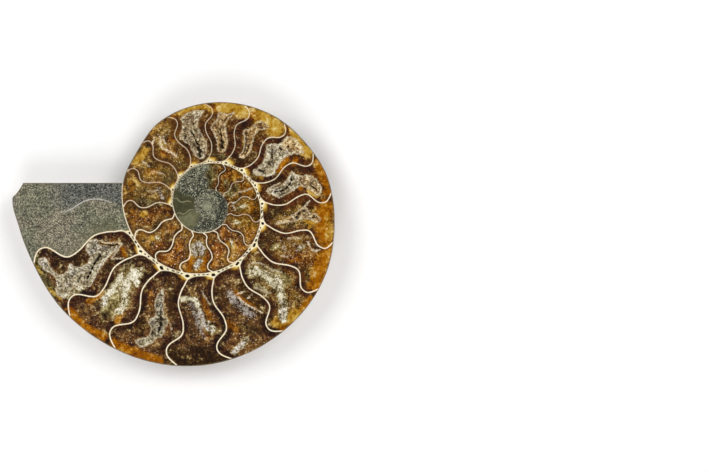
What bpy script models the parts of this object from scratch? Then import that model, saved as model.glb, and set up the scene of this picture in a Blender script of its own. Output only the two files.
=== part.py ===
"""Half of a fossil ammonite, sawn through the middle of its coil and polished on the cut.

The half lies on its ribbed outer side with the cut face level and up. Lengths are in metres.
Growth angles follow the coil outwards, clockwise as seen on the cut face, and are 0 at +X.
A whorl is the tube of one turn. Its flank is measured by the share of the coil's radius: the
umbilical seam lies at SEAM, the thickest place at CREST, and the outer edge at 1.
"""
import math
import random

import bmesh
import bpy

MM = 0.001
TURN = 2.0 * math.pi

# The coil: its radius at growth angle 0, how it widens with the angle, and how that slows.
COIL_X = 10.84 * MM
COIL_Y = 9.21 * MM
RADIUS = 41.86 * MM
WIDENING = 0.13218
SLOWING = 0.00101

# Where the coil leaves the even spiral: middle and reach in degrees, and the share of the
# radius that is gained or lost there.
WAVERS = ((-142.0, 24.0, -0.035), (-75.0, 75.0, -0.0105), (-33.0, 20.0, -0.010),
          (8.0, 27.0, -0.012), (95.0, 42.0, 0.0094))

# The cut: its height over the surface the half lies on, and the sawn end of the last whorl.
CUT_HEIGHT = 13.0 * MM
SAWN_EDGE_Y = 7.5 * MM
SAWN_END = math.radians(187.1)
WORN_CORNER = 3.4 * MM
WORN_CORNER_ARC = math.radians(4.4)
WORN_CORNER_FALL = 0.65
SWOLLEN_SIDE = 0.5 * MM
SWOLLEN_CENTRE = math.radians(180.5)
SWOLLEN_ARC = math.radians(6.5)
PRESSED_SIDE = 0.6 * MM
PRESSED_CENTRE = math.radians(162.0)
PRESSED_ARC = math.radians(20.0)
CUT_SLOPE_X = 0.095
CUT_SLOPE_Y = -0.018
SLOPE_FADE = 3

# The flank of a whorl: shares of the coil's radius, and how round its two slopes are.
SEAM = 0.25
CREST = 0.42
THICKNESS_SHARE = 0.25
FIRST_SEAM_SHARE = 0.41
FLANK_ROUNDNESS = 0.6
UMBILICAL_CLIMB = 2.2
UMBILICAL_ROUNDNESS = 0.45

# The sickle-shaped ribs: count, depth, bend, and the shares where they rise and die out.
RIBS_PER_TURN = 24
RIB_DEPTH_SHARE = 0.016
RIB_BEND = math.radians(9.0)
RIB_BEND_RATE = 3.8
RIB_BEND_SHARE = 0.3
RIB_START = 0.28
RIB_RISE = 0.2
RIB_FADE = 0.08

# The grid of the outer side.
ROWS_PER_TURN = 120
TURNS_SHOWN = 3
UMBILICAL_STEPS = (0.0, 0.08, 0.38, 1.0)
UMBILICAL_COLUMNS = len(UMBILICAL_STEPS)
OUTER_COLUMNS = 7
SHEAR_REACH = math.radians(110.0)
STEEPEST_SINE = 0.75
GRID_PASSES = 8
SHARP_EDGE = math.radians(40.0)

# The line that each chamber wall follows across a whorl: (share of the whorl, degrees forward).
WALL_BENDS = ((0.0, -5.0), (0.05, -0.5), (0.20, 2.4), (0.57, -3.0), (0.83, 2.5), (1.0, -0.8))

# The open hollows: (name, angle and half width in degrees, inner and outer share of the whorl,
# depth in millimetres).
HOLLOWS = (
    ("crystal_crust_1", -100.5, 7.6, 0.12, 0.86, 3.0),
    ("crystal_crust_2", -79.0, 5.6, 0.16, 0.84, 2.6),
    ("crystal_crust_3", -56.8, 4.6, 0.18, 0.80, 2.2),
    ("crystal_crust_4", -34.9, 7.4, 0.14, 0.86, 3.0),
    ("crystal_crust_5", -12.6, 6.0, 0.14, 0.84, 3.0),
    ("crystal_crust_6", 6.4, 4.2, 0.20, 0.74, 2.2),
    ("crystal_crust_7", 115.4, 3.2, 0.28, 0.84, 2.6),
    ("crystal_crust_8", 155.2, 6.8, 0.16, 0.91, 3.6),
)
HOLLOW_LIP = 0.9 * MM
CUTTER_TOP = CUT_HEIGHT + 1.0 * MM

# A hollow's plan: its narrow ends, its wavy sides, and the level where its breadth is taken.
END_WIDTH = 0.34
END_ROUNDNESS = 0.7
SIDE_WAVE = 0.10
SIDE_WAVES = 11.0
SIDE_WAVE_SHIFT = 5.0
SIDE_INSET = 1.2
BREADTH_LEVEL = 0.4

# A hollow's floor: how far its sides, its ends and its outer part rise.
SIDE_RISE = 0.8
SIDE_STEEPNESS = 2.5
END_DEPTH = 0.25
OUTER_RISE = 0.45

# The crusts of crystals.
CRUST_GAP = 0.36 * MM
CRUST_THICKNESS = 0.45 * MM
CRUST_BELOW_CUT = 0.15 * MM
CRYSTAL_HEIGHT = (0.35 * MM, 0.95 * MM)
CRYSTAL_SIZE = 1.6 * MM
CRYSTAL_TIP = (0.3, 0.7)
LEAST_ALONG = 5
LEAST_ACROSS = 3

# Colour and roughness of the materials.
STONE = (0.28, 0.12, 0.035), 0.25
DRUSE = (0.42, 0.36, 0.29), 0.35


def wall_radius(angle):
    """Radius of the coil's outer wall at a growth angle."""
    even = RADIUS * math.exp(WIDENING * angle - SLOWING * angle * angle)
    gain = 1.0
    for middle, reach, share in WAVERS:
        away = min(1.0, abs(math.degrees(angle) - middle) / reach)
        gain += 0.5 * share * (1.0 + math.cos(math.pi * away))
    return even * gain


def place(angle, radius):
    """X and Y of a point of the coil."""
    return COIL_X + radius * math.cos(angle), COIL_Y - radius * math.sin(angle)


def smooth(value):
    """Smooth step from 0 to 1."""
    value = min(1.0, max(0.0, value))
    return value * value * (3.0 - 2.0 * value)


def outward(share):
    """0 at the crest of the flank and 1 at the outer edge."""
    return min(1.0, max(0.0, (share - CREST) / (1.0 - CREST)))


def rib_groove(angle, share):
    """Depth of the furrows between the sickle-shaped ribs."""
    bend = RIB_BEND * math.sin(RIB_BEND_RATE * (share - RIB_BEND_SHARE))
    wave = 0.5 - 0.5 * math.cos(RIBS_PER_TURN * (angle - bend))
    height = RIB_DEPTH_SHARE * wall_radius(angle)
    return height * wave * smooth((share - RIB_START) / RIB_RISE) * smooth((1.0 - share) / RIB_FADE)


def flank_depth(angle, share):
    """Distance of the outer side from the middle plane of the shell."""
    crest = THICKNESS_SHARE * wall_radius(angle)
    if share >= CREST:
        depth = crest * (1.0 - outward(share) ** 2) ** FLANK_ROUNDNESS
    else:
        depth = seam_depth(angle)
        left = (CREST - share) / (CREST - SEAM)
        depth += (crest - depth) * (1.0 - left ** UMBILICAL_CLIMB) ** UMBILICAL_ROUNDNESS
    return depth - rib_groove(angle, share)


def seam_depth(angle):
    """Depth of the umbilical seam, where a whorl meets the flank of the turn before it."""
    if angle < SAWN_END - TURNS_SHOWN * TURN + TURN:
        return FIRST_SEAM_SHARE * THICKNESS_SHARE * wall_radius(angle)
    before = angle - TURN
    return flank_depth(before, SEAM * wall_radius(angle) / wall_radius(before))


def sawn_shift(nominal, radius):
    """Turns the grid rows near the sawn end into its straight line."""
    away = (nominal - SAWN_END + 0.5 * TURN) % TURN - 0.5 * TURN
    if abs(away) > SHEAR_REACH:
        return 0.0
    weight = math.cos(0.5 * math.pi * away / SHEAR_REACH) ** 2
    line = math.asin(min(STEEPEST_SINE, SAWN_EDGE_Y / radius))
    return weight * (math.pi + line - SAWN_END)


def lost_edge(angle):
    """What the outer edge has lost: the worn corner, and a pressed side after a slight swelling."""
    worn = (angle - SAWN_END + WORN_CORNER_ARC) / WORN_CORNER_ARC
    corner = WORN_CORNER * min(1.0, max(0.0, worn)) ** WORN_CORNER_FALL
    pressed = 1.0 - abs(angle - PRESSED_CENTRE) / PRESSED_ARC
    swollen = 1.0 - abs(angle - SWOLLEN_CENTRE) / SWOLLEN_ARC
    return corner + PRESSED_SIDE * smooth(pressed) - SWOLLEN_SIDE * smooth(swollen)


def grid_point(nominal, column):
    """Growth angle, share of the radius and radius of one point of the outer side."""
    angle = nominal
    for _ in range(GRID_PASSES):
        share = column_share(angle, column)
        radius = share * wall_radius(angle) - lost_edge(angle) * outward(share) ** 2
        angle = nominal + sawn_shift(nominal, radius)
    return angle, share, radius


def column_share(angle, column):
    """Share of the radius at which a grid column runs."""
    cover = SEAM * wall_radius(angle + TURN) / wall_radius(angle)
    if column < UMBILICAL_COLUMNS:
        return SEAM + (CREST - SEAM) * UMBILICAL_STEPS[column]
    start = math.asin(outward(cover))
    step = (column - UMBILICAL_COLUMNS) / OUTER_COLUMNS
    return CREST + (1.0 - CREST) * math.sin(start + (0.5 * math.pi - start) * step)


def outer_side_vertex(mesh, row, column):
    """Adds the vertex of one row and column of the outer side."""
    nominal = SAWN_END + (row / ROWS_PER_TURN - TURNS_SHOWN) * TURN
    angle, share, radius = grid_point(nominal, column)
    x, y = place(angle, radius)
    level = CUT_SLOPE_X * (x - COIL_X) + CUT_SLOPE_Y * (y - COIL_Y)
    if row >= (TURNS_SHOWN - 1) * ROWS_PER_TURN:
        level *= 1.0 - outward(share) ** SLOPE_FADE
    depth = min(CUT_HEIGHT, max(0.0, flank_depth(angle, share) + level))
    return mesh.verts.new((x, y, CUT_HEIGHT - depth))


def ammonite_body():
    """The whole half before its hollows: outer side, sawn end, umbilicus floor and cut face."""
    mesh = bmesh.new()
    last_row = TURNS_SHOWN * ROWS_PER_TURN
    open_row = last_row - ROWS_PER_TURN
    columns = UMBILICAL_COLUMNS + OUTER_COLUMNS
    grid = {}
    for row in range(last_row + 1):
        reach = columns if row >= open_row else UMBILICAL_COLUMNS
        for column in range(reach + 1):
            if column == 0 and row >= ROWS_PER_TURN:
                grid[row, 0] = grid[row - ROWS_PER_TURN, UMBILICAL_COLUMNS]
            else:
                grid[row, column] = outer_side_vertex(mesh, row, column)
    for row in range(last_row):
        reach = columns if row >= open_row else UMBILICAL_COLUMNS
        for column in range(reach):
            mesh.faces.new((grid[row, column], grid[row + 1, column],
                            grid[row + 1, column + 1], grid[row, column + 1]))
    outline = [grid[row, columns] for row in range(open_row, last_row + 1)]
    sawn_end = [grid[last_row, column] for column in range(columns + 1)]
    sawn_end += [grid[open_row, column] for column in range(columns, UMBILICAL_COLUMNS, -1)]
    umbilicus = [grid[row, 0] for row in range(ROWS_PER_TURN, 0, -1)]
    umbilicus += [grid[0, column] for column in range(UMBILICAL_COLUMNS)]
    for loop in (outline, sawn_end, umbilicus):
        mesh.faces.new(loop)
    bmesh.ops.recalc_face_normals(mesh, faces=mesh.faces)
    return mesh


def wall_bend(share):
    """How far forward a chamber wall has swung at a share of the whorl's height."""
    for (low, before), (high, after) in zip(WALL_BENDS, WALL_BENDS[1:]):
        if share <= high:
            turn = 0.5 - 0.5 * math.cos(math.pi * (share - low) / (high - low))
            return math.radians(before + (after - before) * turn)
    return math.radians(WALL_BENDS[-1][1])


class Hollow:
    """One open hollow. Across runs from -1 to 1, and along from 0 at its inner end to 1."""

    def __init__(self, name, centre, half_width, inner, outer, depth):
        self.name = name
        self.centre = math.radians(centre)
        self.half_width = math.radians(half_width)
        self.inner = inner
        self.outer = outer
        self.depth = depth * MM
        self.radius = wall_radius(self.centre)
        self.height = self.radius - wall_radius(self.centre - TURN)
        self.length = (outer - inner) * self.height
        self.breadth = 2.0 * self.half_width * (self.radius - BREADTH_LEVEL * self.height)
        self.cells_along = max(LEAST_ALONG, round(self.length / CRYSTAL_SIZE))
        self.cells_across = max(LEAST_ACROSS, round(self.breadth / CRYSTAL_SIZE))

    def plan(self, across, along, inset=0.0):
        """X and Y of a point of the hollow, set in from its edge."""
        along = inset / self.length + along * (1.0 - 2.0 * inset / self.length)
        share = self.inner + (self.outer - self.inner) * along
        taper = END_WIDTH + (1.0 - END_WIDTH) * math.sin(math.pi * along) ** END_ROUNDNESS
        wave = 1.0 + SIDE_WAVE * math.sin(SIDE_WAVES * along + SIDE_WAVE_SHIFT * self.centre)
        half = self.half_width * taper * wave - SIDE_INSET * inset / self.radius
        angle = self.centre + wall_bend(share) + across * half
        inside = wall_radius(angle - TURN)
        return place(angle, inside + share * (wall_radius(angle) - inside))

    def floor(self, across, along):
        """Depth of the hollow's floor below the cut."""
        bowl = 1.0 - SIDE_RISE * abs(across) ** SIDE_STEEPNESS
        bowl *= END_DEPTH + (1.0 - END_DEPTH) * math.sin(math.pi * along)
        return HOLLOW_LIP + (self.depth - HOLLOW_LIP) * bowl * (1.0 - OUTER_RISE * along)

    def cutter(self):
        """Closed solid that cuts the hollow."""
        return self.block(0.0, lambda across, along: CUT_HEIGHT - self.floor(across, along),
                          lambda across, along, peak: CUTTER_TOP, False)

    def crust(self):
        """Crust of flat-faced crystals that lines the hollow."""
        def under(across, along):
            return CUT_HEIGHT - self.floor(across, along) + CRUST_GAP

        def over(across, along, peak):
            height = under(across, along) + CRUST_THICKNESS + peak
            return min(height, CUT_HEIGHT - CRUST_BELOW_CUT)
        return self.block(CRUST_GAP, under, over, True)

    def block(self, inset, under, over, crystals):
        """Solid between two heights. With crystals, every cell of its top is a pyramid."""
        mesh = bmesh.new()
        chance = random.Random(round(1000 * abs(self.centre)))
        wide = self.cells_across
        tall = self.cells_along
        low = {}
        high = {}
        for step in range(tall + 1):
            for side in range(wide + 1):
                across = 2.0 * side / wide - 1.0
                along = step / tall
                x, y = self.plan(across, along, inset)
                low[side, step] = mesh.verts.new((x, y, under(across, along)))
                high[side, step] = mesh.verts.new((x, y, over(across, along, 0.0)))
        for step in range(tall):
            for side in range(wide):
                corners = ((side, step), (side + 1, step), (side + 1, step + 1), (side, step + 1))
                mesh.faces.new([low[corner] for corner in reversed(corners)])
                if not crystals:
                    mesh.faces.new([high[corner] for corner in corners])
                    continue
                across = 2.0 * (side + chance.uniform(*CRYSTAL_TIP)) / wide - 1.0
                along = (step + chance.uniform(*CRYSTAL_TIP)) / tall
                x, y = self.plan(across, along, inset)
                tip = mesh.verts.new((x, y, over(across, along, chance.uniform(*CRYSTAL_HEIGHT))))
                for start, end in zip(corners, corners[1:] + corners[:1]):
                    mesh.faces.new((high[start], high[end], tip))
        rim = [(side, 0) for side in range(wide)] + [(wide, step) for step in range(tall)]
        rim += [(side, tall) for side in range(wide, 0, -1)]
        rim += [(0, step) for step in range(tall, 0, -1)]
        for start, end in zip(rim, rim[1:] + rim[:1]):
            mesh.faces.new((low[start], low[end], high[end], high[start]))
        bmesh.ops.recalc_face_normals(mesh, faces=mesh.faces)
        return mesh


def material(name, colour, roughness):
    """Principled material of one colour."""
    finish = bpy.data.materials.new(name)
    finish.use_nodes = True
    shader = finish.node_tree.nodes["Principled BSDF"]
    shader.inputs["Base Color"].default_value = (*colour, 1.0)
    shader.inputs["Roughness"].default_value = roughness
    shader.inputs["Metallic"].default_value = 0.0
    return finish


def add_object(name, mesh, collection, finish=None):
    """Makes an object of a finished mesh and puts it in a collection."""
    data = bpy.data.meshes.new(name)
    mesh.to_mesh(data)
    mesh.free()
    thing = bpy.data.objects.new(name, data)
    collection.objects.link(thing)
    if finish:
        data.materials.append(finish)
    return thing


def add_collection(name):
    """Adds a collection to the scene."""
    collection = bpy.data.collections.new(name)
    bpy.context.scene.collection.children.link(collection)
    return collection


def main():
    """Builds the half and the crystal crusts in its hollows."""
    for thing in list(bpy.data.objects):
        bpy.data.objects.remove(thing)
    parts = add_collection("ammonite_fossil_half")
    cutters = add_collection("cutters")
    stone = material("calcite_and_shell", *STONE)
    body = add_object("ammonite_half", ammonite_body(), parts, stone)
    for values in HOLLOWS:
        hollow = Hollow(*values)
        cutter = add_object("cut_" + hollow.name, hollow.cutter(), cutters)
        cutter.hide_render = True
        cutter.display_type = "WIRE"
        cut = body.modifiers.new("cut_" + hollow.name, "BOOLEAN")
        cut.operation = "DIFFERENCE"
        cut.solver = "EXACT"
        cut.object = cutter
        druse = material(hollow.name + "_druse", *DRUSE)
        add_object(hollow.name, hollow.crust(), parts, druse)
    body.data.shade_smooth()
    body.data.set_sharp_from_angle(angle=SHARP_EDGE)


main()
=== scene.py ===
"""Polished half of a fossil ammonite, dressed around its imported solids.

The cut face is one dense sheet whose vertices know how far they lie from the chamber walls, the
hollows and the outer edge. The materials turn those distances into calcite, shell and set mud.
Lengths are in metres unless a name says millimetres. Growth angles follow the coil outwards,
clockwise as seen on the cut face, and are 0 at +X. A share of a whorl runs from 0 at its inner
wall to 1 at its outer wall.
"""

import math

import bpy
import numpy as np
from bpy.props import FloatProperty, PointerProperty
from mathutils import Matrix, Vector
from mathutils.geometry import delaunay_2d_cdt
from mathutils.kdtree import KDTree


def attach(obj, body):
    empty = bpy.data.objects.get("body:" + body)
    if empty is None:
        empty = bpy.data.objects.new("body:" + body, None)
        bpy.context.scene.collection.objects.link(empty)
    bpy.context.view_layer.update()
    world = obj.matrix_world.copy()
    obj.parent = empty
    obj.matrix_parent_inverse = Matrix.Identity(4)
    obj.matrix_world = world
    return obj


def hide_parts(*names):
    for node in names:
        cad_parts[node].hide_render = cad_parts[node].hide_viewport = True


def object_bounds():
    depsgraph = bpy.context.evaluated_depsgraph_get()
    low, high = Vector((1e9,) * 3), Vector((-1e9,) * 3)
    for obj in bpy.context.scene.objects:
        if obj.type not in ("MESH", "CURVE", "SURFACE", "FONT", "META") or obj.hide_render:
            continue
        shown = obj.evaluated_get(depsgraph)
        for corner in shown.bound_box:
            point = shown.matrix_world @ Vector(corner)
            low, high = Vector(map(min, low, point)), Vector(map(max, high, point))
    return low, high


bl_info = {
    "name": "Ammonite Half",
    "version": (1, 0, 0),
    "blender": (4, 5, 0),
    "location": "3D View > Sidebar > Ammonite",
    "description": "Dresses the packed half of a sawn and polished ammonite",
    "category": "Object",
}

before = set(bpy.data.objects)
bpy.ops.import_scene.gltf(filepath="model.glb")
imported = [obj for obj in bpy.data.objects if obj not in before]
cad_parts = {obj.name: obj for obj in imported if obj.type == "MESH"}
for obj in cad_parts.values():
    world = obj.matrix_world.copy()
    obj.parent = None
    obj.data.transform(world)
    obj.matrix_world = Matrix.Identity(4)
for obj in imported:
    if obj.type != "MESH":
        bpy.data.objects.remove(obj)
CAD_LOW, CAD_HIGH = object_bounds()

MM = 0.001
TURN = 2.0 * math.pi
CUT_HEIGHT = CAD_HIGH.z

# The coil: radius at growth angle 0, how it widens with the angle, and how that slows.
RADIUS = 41.86 * MM
WIDENING = 0.13218
SLOWING = 0.00101

# Where the coil leaves the even spiral: middle and reach in degrees, and the share of the
# radius that is gained or lost there.
WAVERS = ((-142.0, 24.0, -0.035), (-75.0, 75.0, -0.0105), (-33.0, 20.0, -0.010),
          (8.0, 27.0, -0.012), (95.0, 42.0, 0.0094))

# The sawn mouth and what its outer corner has lost.
SAWN_EDGE_Y = 7.5 * MM
SAWN_END = math.radians(187.1)
WORN_CORNER = 3.4 * MM
WORN_CORNER_ARC = math.radians(4.4)
WORN_CORNER_FALL = 0.65
SWOLLEN_SIDE = 0.5 * MM
SWOLLEN_CENTRE = math.radians(180.5)
SWOLLEN_ARC = math.radians(6.5)
PRESSED_SIDE = 0.6 * MM
PRESSED_CENTRE = math.radians(162.0)
PRESSED_ARC = math.radians(20.0)
CUT_SLOPE_X = 0.095
CUT_SLOPE_Y = -0.018
EDGE_BEVEL = 0.10 * MM

# The flank of a whorl: umbilical seam and crest as shares of the coil's radius, and its ribs.
SEAM = 0.25
CREST = 0.42
FLANK_ROUNDING = 0.6
THICKNESS_SHARE = 0.25
FIRST_SEAM_SHARE = 0.41
RIBS_PER_TURN = 24
RIB_DEPTH_SHARE = 0.016
RIB_BEND = math.radians(9.0)
SHEAR_REACH = math.radians(110.0)
TURNS_SHOWN = 3

# Chamber walls: the first one's angle, the chambers' spans, and the line each wall follows as
# (share of the whorl, degrees forward). The last point lies past the outer wall.
FIRST_WALL = -426.0
CHAMBER_SPANS = (27.4, 26.8, 26.8, 27.0, 24.6, 21.2, 24.6, 22.2, 23.8, 23.6, 22.6, 21.8, 21.8,
                 23.4, 21.0, 21.4, 21.4, 20.8, 20.8, 21.2, 23.0, 23.0, 20.4, 21.2, 18.8, 19.0)
FOOT = 0.066
WALL_BENDS = ((FOOT, 0.0), (0.21, 2.8), (0.61, -3.3), (0.84, 2.2), (1.10, -4.6))

# How far each wall leans ahead of that line, in degrees, at these shares of the whorl. A row
# starts with the wall's angle, and walls between two rows lean in between.
LEAN_SHARES = (0.15, 0.45, 0.70, 0.81, 0.95)
WALL_LEANS = (
    (-450, 0, 0, 0, 0, 0), (-426, 1.2, 0.2, 2.5, 0.9, -1.4), (-372, 1.6, 0, 2.1, 1.8, 1.1),
    (-318, 0, -0.7, 0.4, 0.4, 0.7), (-272, 0.2, -0.4, -0.6, -0.8, -0.7),
    (-225, 0, -0.5, -0.7, -0.1, 0), (-178, -0.6, -0.5, -0.1, 0, -0.4),
    (-155, -0.5, 0, -0.6, 0.3, 0.9), (-134, 0, 0.6, -0.6, 0, 0.5), (-112, 0.5, 0.7, 0.4, 0.2, -0.2),
    (-88, 0.5, 0.8, 0.5, -0.2, -0.6), (-67, 0.3, 0.9, 0.7, 0.5, 0.1),
    (-46, 0.2, 1.1, 1.0, 1.2, 1.1), (-25, 0.4, 1.1, 0.9, 0.9, 0.4), (-4, 0.2, 1.3, 0, 0, 0.1),
    (17, -0.6, 1.2, -0.5, 0.6, 1.3), (38, -0.6, 0.9, -0.3, 0.7, 0.8),
    (61, -0.4, 0.3, -0.5, 0.1, -0.1), (84, -0.5, 0.1, -0.3, -0.4, -1.1),
    (105, -0.8, 0.1, -0.9, -1.1, -1.7), (126, -0.7, 0.1, -0.5, -0.2, -0.7),
    (145, -0.9, 0.3, -1.0, -0.6, -1.2), (164, -1.2, 0.4, -0.8, -0.1, -0.6), (180, 0, 0, 0, 0, 0),
)
LINING = 0.019
LINING_START = -182.0
WALL_AGES = (-430, -340, -260, -190, -170, -70, 20, 170)
WALL_WIDTHS = (0.46, 0.50, 0.84, 0.84, 0.66, 0.66, 0.92, 1.00)
WALL_TONES = (0.72, 0.72, 1.0, 0.95, 0.80, 0.75, 1.0, 1.0)
NUCLEUS = 1.9 * MM
FIRST_MUD_END = math.radians(-444.0)

# Walls of the coil inside the mud: start and end in degrees, and strength.
MUD_COIL = ((-830.0, -665.0, 0.25), (-665.0, -540.0, 0.9), (-540.0, -455.0, 0.3))
CALCITE_COIL_START = math.radians(-455.0)
COIL_STRENGTH = 0.95

# Half widths of the lining and the coil's wall, as shares of a chamber wall's full width, and
# half widths of the fainter lines.
LINING_HALF_WIDTH = 0.34
COIL_HALF_WIDTH = 0.38
MUD_COIL_HALF_WIDTH = 0.12 * MM
GHOST_HALF_WIDTH = 0.07 * MM
GHOST_STRENGTH = 0.85
VEIN_WANDER = 0.20 * MM

# The oldest walls end in a foot that turns back below this share of the whorl.
OLD_FOOT = 0.12
OLD_FOOT_TURN = math.radians(9.0)

# Spacing of the vertices along the guide lines and strokes, and around the pores.
GUIDE_STEP = 0.30 * MM
GUIDE_SIDE = 0.8
STROKE_STEP = 0.3 * MM
PORE_CORNERS = 9
PORE_DEPTH = 0.45 * MM
PORE_NARROWING = 0.7
PORE_GAP = 0.12 * MM

# Seeds of the random draws, and the angle above which an edge stays sharp.
PORE_SEED = 11
DENT_SEED = 3
TONE_SEED = 5
CRYSTAL_SEED = 10
SHARP_EDGE = math.radians(38.0)
GHOST_WALLS = ((-556.0, 0.08, 0.95), (-528.0, 0.12, 0.95), (180.8, 0.10, 0.58))

# The open hollows: node, depth in millimetres, how pale and how rusty the crystals are, rim, and
# slits, where the crust dips deeper and is darkened with painted shade. A rim or slit is a list of
# (growth angle in degrees, share of the whorl). A slit starts with its half width in millimetres.
HOLLOWS = (
    ("crystal_crust_1", 3.0, -0.22, 0.38,
     ((-106, .87), (-100, .90), (-92, .87), (-96, .75), (-96.5, .62), (-94.5, .50), (-91, .36),
      (-90.3, .24), (-92.5, .14), (-97, .105), (-101.5, .14), (-104, .22), (-105, .33),
      (-108, .45), (-111.3, .58), (-107.5, .68), (-106.3, .77)),
     ((0.65, (-98.4, .30), (-97.6, .17)), (0.22, (-102, .62), (-100, .45), (-98.5, .34)))),
    ("crystal_crust_2", 2.6, -0.24, 0.75,
     ((-82.8, .82), (-78, .80), (-73.5, .84), (-76.3, .74), (-77, .62), (-75.5, .50),
      (-72.5, .36), (-71.4, .26), (-73.5, .195), (-76.5, .185), (-79.6, .24), (-80.6, .34),
      (-83.2, .45), (-86.6, .58), (-84.5, .66), (-82.7, .74)),
     ((0.62, (-76.8, .35), (-75.4, .25)), (0.24, (-80.2, .56), (-78.6, .46), (-77.2, .36)))),
    ("crystal_crust_3", 2.2, -0.24, 1.0,
     ((-59, .80), (-56, .83), (-51.5, .80), (-55.2, .71), (-56, .60), (-54.4, .48), (-52.2, .36),
      (-51.9, .27), (-53.5, .19), (-56.6, .20), (-56.2, .29), (-58.2, .40), (-60.8, .50),
      (-63.4, .575), (-60.8, .66), (-59.5, .73)),
     ((0.32, (-62, .57), (-59.7, .50), (-57.2, .39), (-55.5, .30)),
      (0.26, (-55.7, .44), (-53.8, .34), (-53.4, .28)))),
    ("crystal_crust_4", 3.0, 0.0, 0.22,
     ((-40.4, .86), (-36, .93), (-31, .90), (-29, .86), (-31.5, .75), (-32, .65), (-31, .55),
      (-29, .44), (-26.6, .37), (-25.2, .31), (-26.8, .22), (-30, .16), (-34, .12), (-36.6, .15),
      (-37.2, .25), (-38.7, .36), (-41.2, .46), (-44.9, .55), (-44.6, .60), (-41.5, .66),
      (-40.3, .74)),
     ((0.42, (-36.2, .775)), (0.30, (-38.4, .67), (-37.4, .665)),
      (0.40, (-34.6, .21), (-31.5, .25)), (0.16, (-39.0, .52), (-35.0, .45)))),
    ("crystal_crust_5", 3.0, -0.13, 0.18,
     ((-17, .75), (-13, .84), (-8.5, .87), (-5.6, .80), (-8.5, .73), (-11, .66), (-12, .58),
      (-10.3, .48), (-8.3, .36), (-7.3, .28), (-9, .21), (-11.7, .16), (-14, .145), (-14.6, .22),
      (-14.6, .31), (-16.7, .42), (-19.8, .52), (-21.4, .585), (-18.8, .62), (-17.4, .68)),
     ((0.26, (-18.2, .53), (-15.2, .48), (-13.0, .42), (-11.3, .33), (-12.0, .24)),
      (0.14, (-14.4, .52), (-12.2, .42)), (0.22, (-10.2, .76), (-8.6, .80)))),
    ("crystal_crust_6", 2.2, -0.24, 0.55,
     ((4.4, .74), (6.2, .80), (8.6, .76), (7.6, .69), (6.9, .63), (7.6, .57), (8.8, .50),
      (10.4, .40), (12.4, .31), (14.2, .225), (13.2, .215), (10.8, .29), (8.4, .375),
      (6.0, .445), (3.6, .505), (1.2, .56), (0.9, .60), (2.6, .635), (4.4, .66)),
     ((0.36, (2.7, .585)), (0.34, (4.5, .52), (5.4, .495)), (0.25, (6.0, .72), (6.6, .68)))),
    ("crystal_crust_7", 2.6, -0.23, 0.0,
     ((112.3, .80), (115, .87), (117.8, .83), (115.4, .78), (114, .72), (114.4, .65), (116.6, .60),
      (115.4, .53), (115.9, .46), (117.6, .40), (118.6, .30), (117.8, .22), (115.8, .29),
      (113.8, .38), (111.3, .49), (108.3, .54), (109.2, .62), (108.8, .70), (110.8, .74)),
     ((0.40, (111.0, .67), (111.4, .58), (112.3, .51)), (0.22, (112.8, .50), (114.4, .42)))),
    ("crystal_crust_8", 3.6, -0.08, 0.0,
     ((147.2, .90), (149.5, .94), (152.5, .88), (155.5, .86), (158.5, .91), (161.8, .92),
      (162.3, .86), (159.8, .85), (157, .845), (154.6, .80), (154.8, .72), (156.6, .685),
      (157.2, .665), (155.6, .65), (154.2, .60), (154.4, .51), (156.5, .46), (160.5, .46),
      (163.4, .40), (162.6, .32), (160, .26), (158.6, .18), (156.8, .135), (154.8, .15),
      (153.8, .24), (152, .34), (149.6, .46), (146.4, .58), (146.2, .66), (148.7, .74),
      (148.2, .82)),
     ((0.50, (153.4, .45), (155.0, .38)), (0.26, (153.4, .45), (150.8, .54)),
      (0.36, (150.6, .54), (148.8, .62)),
      (0.32, (160.8, .31), (158.6, .265), (156.6, .18)), (0.20, (149.5, .70), (151.4, .64)))),
)

# Colours of the crystals and the calcite, painted on as strokes: half width in millimetres,
# strength, and a line of (growth angle in degrees, share of the whorl).
STAINS = (
    (1.5, .6, (-80, .80), (-76, .74)), (.9, .7, (-85.5, .57), (-84, .60)),
    (1.0, .5, (-12.5, .80), (-9.5, .84)), (.8, .9, (-8, .76), (-7, .80)),
    (.7, 1, (6, .72), (7, .77)), (.6, 1, (9, .43), (11.5, .32)),
    (.9, .8, (161, .31), (158, .23), (156.3, .16)), (2.6, .6, (-38, .82), (-32, .86)),
    (2.2, .5, (-15, .70), (-9.5, .80)),
)
DULL = (
    (.8, .9, (6.5, .48), (4, .54)), (.7, .8, (114.5, .62), (113.5, .70)),
    (.6, .7, (117, .40), (115.4, .50)), (.6, .8, (-10.2, .62), (-9.2, .70)),
    (.5, .8, (-15.8, .36), (-13.8, .28)), (.5, .8, (-9.5, .42), (-8.4, .33)),
    (.55, .8, (-42, .60), (-39, .52), (-35, .45), (-33.4, .33)),
    (.5, .8, (-106.5, .66), (-105.5, .60)), (.9, .6, (148.5, .86), (148.5, .80)),
    (.8, .5, (146.8, .62), (147.6, .68)),
)
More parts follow.
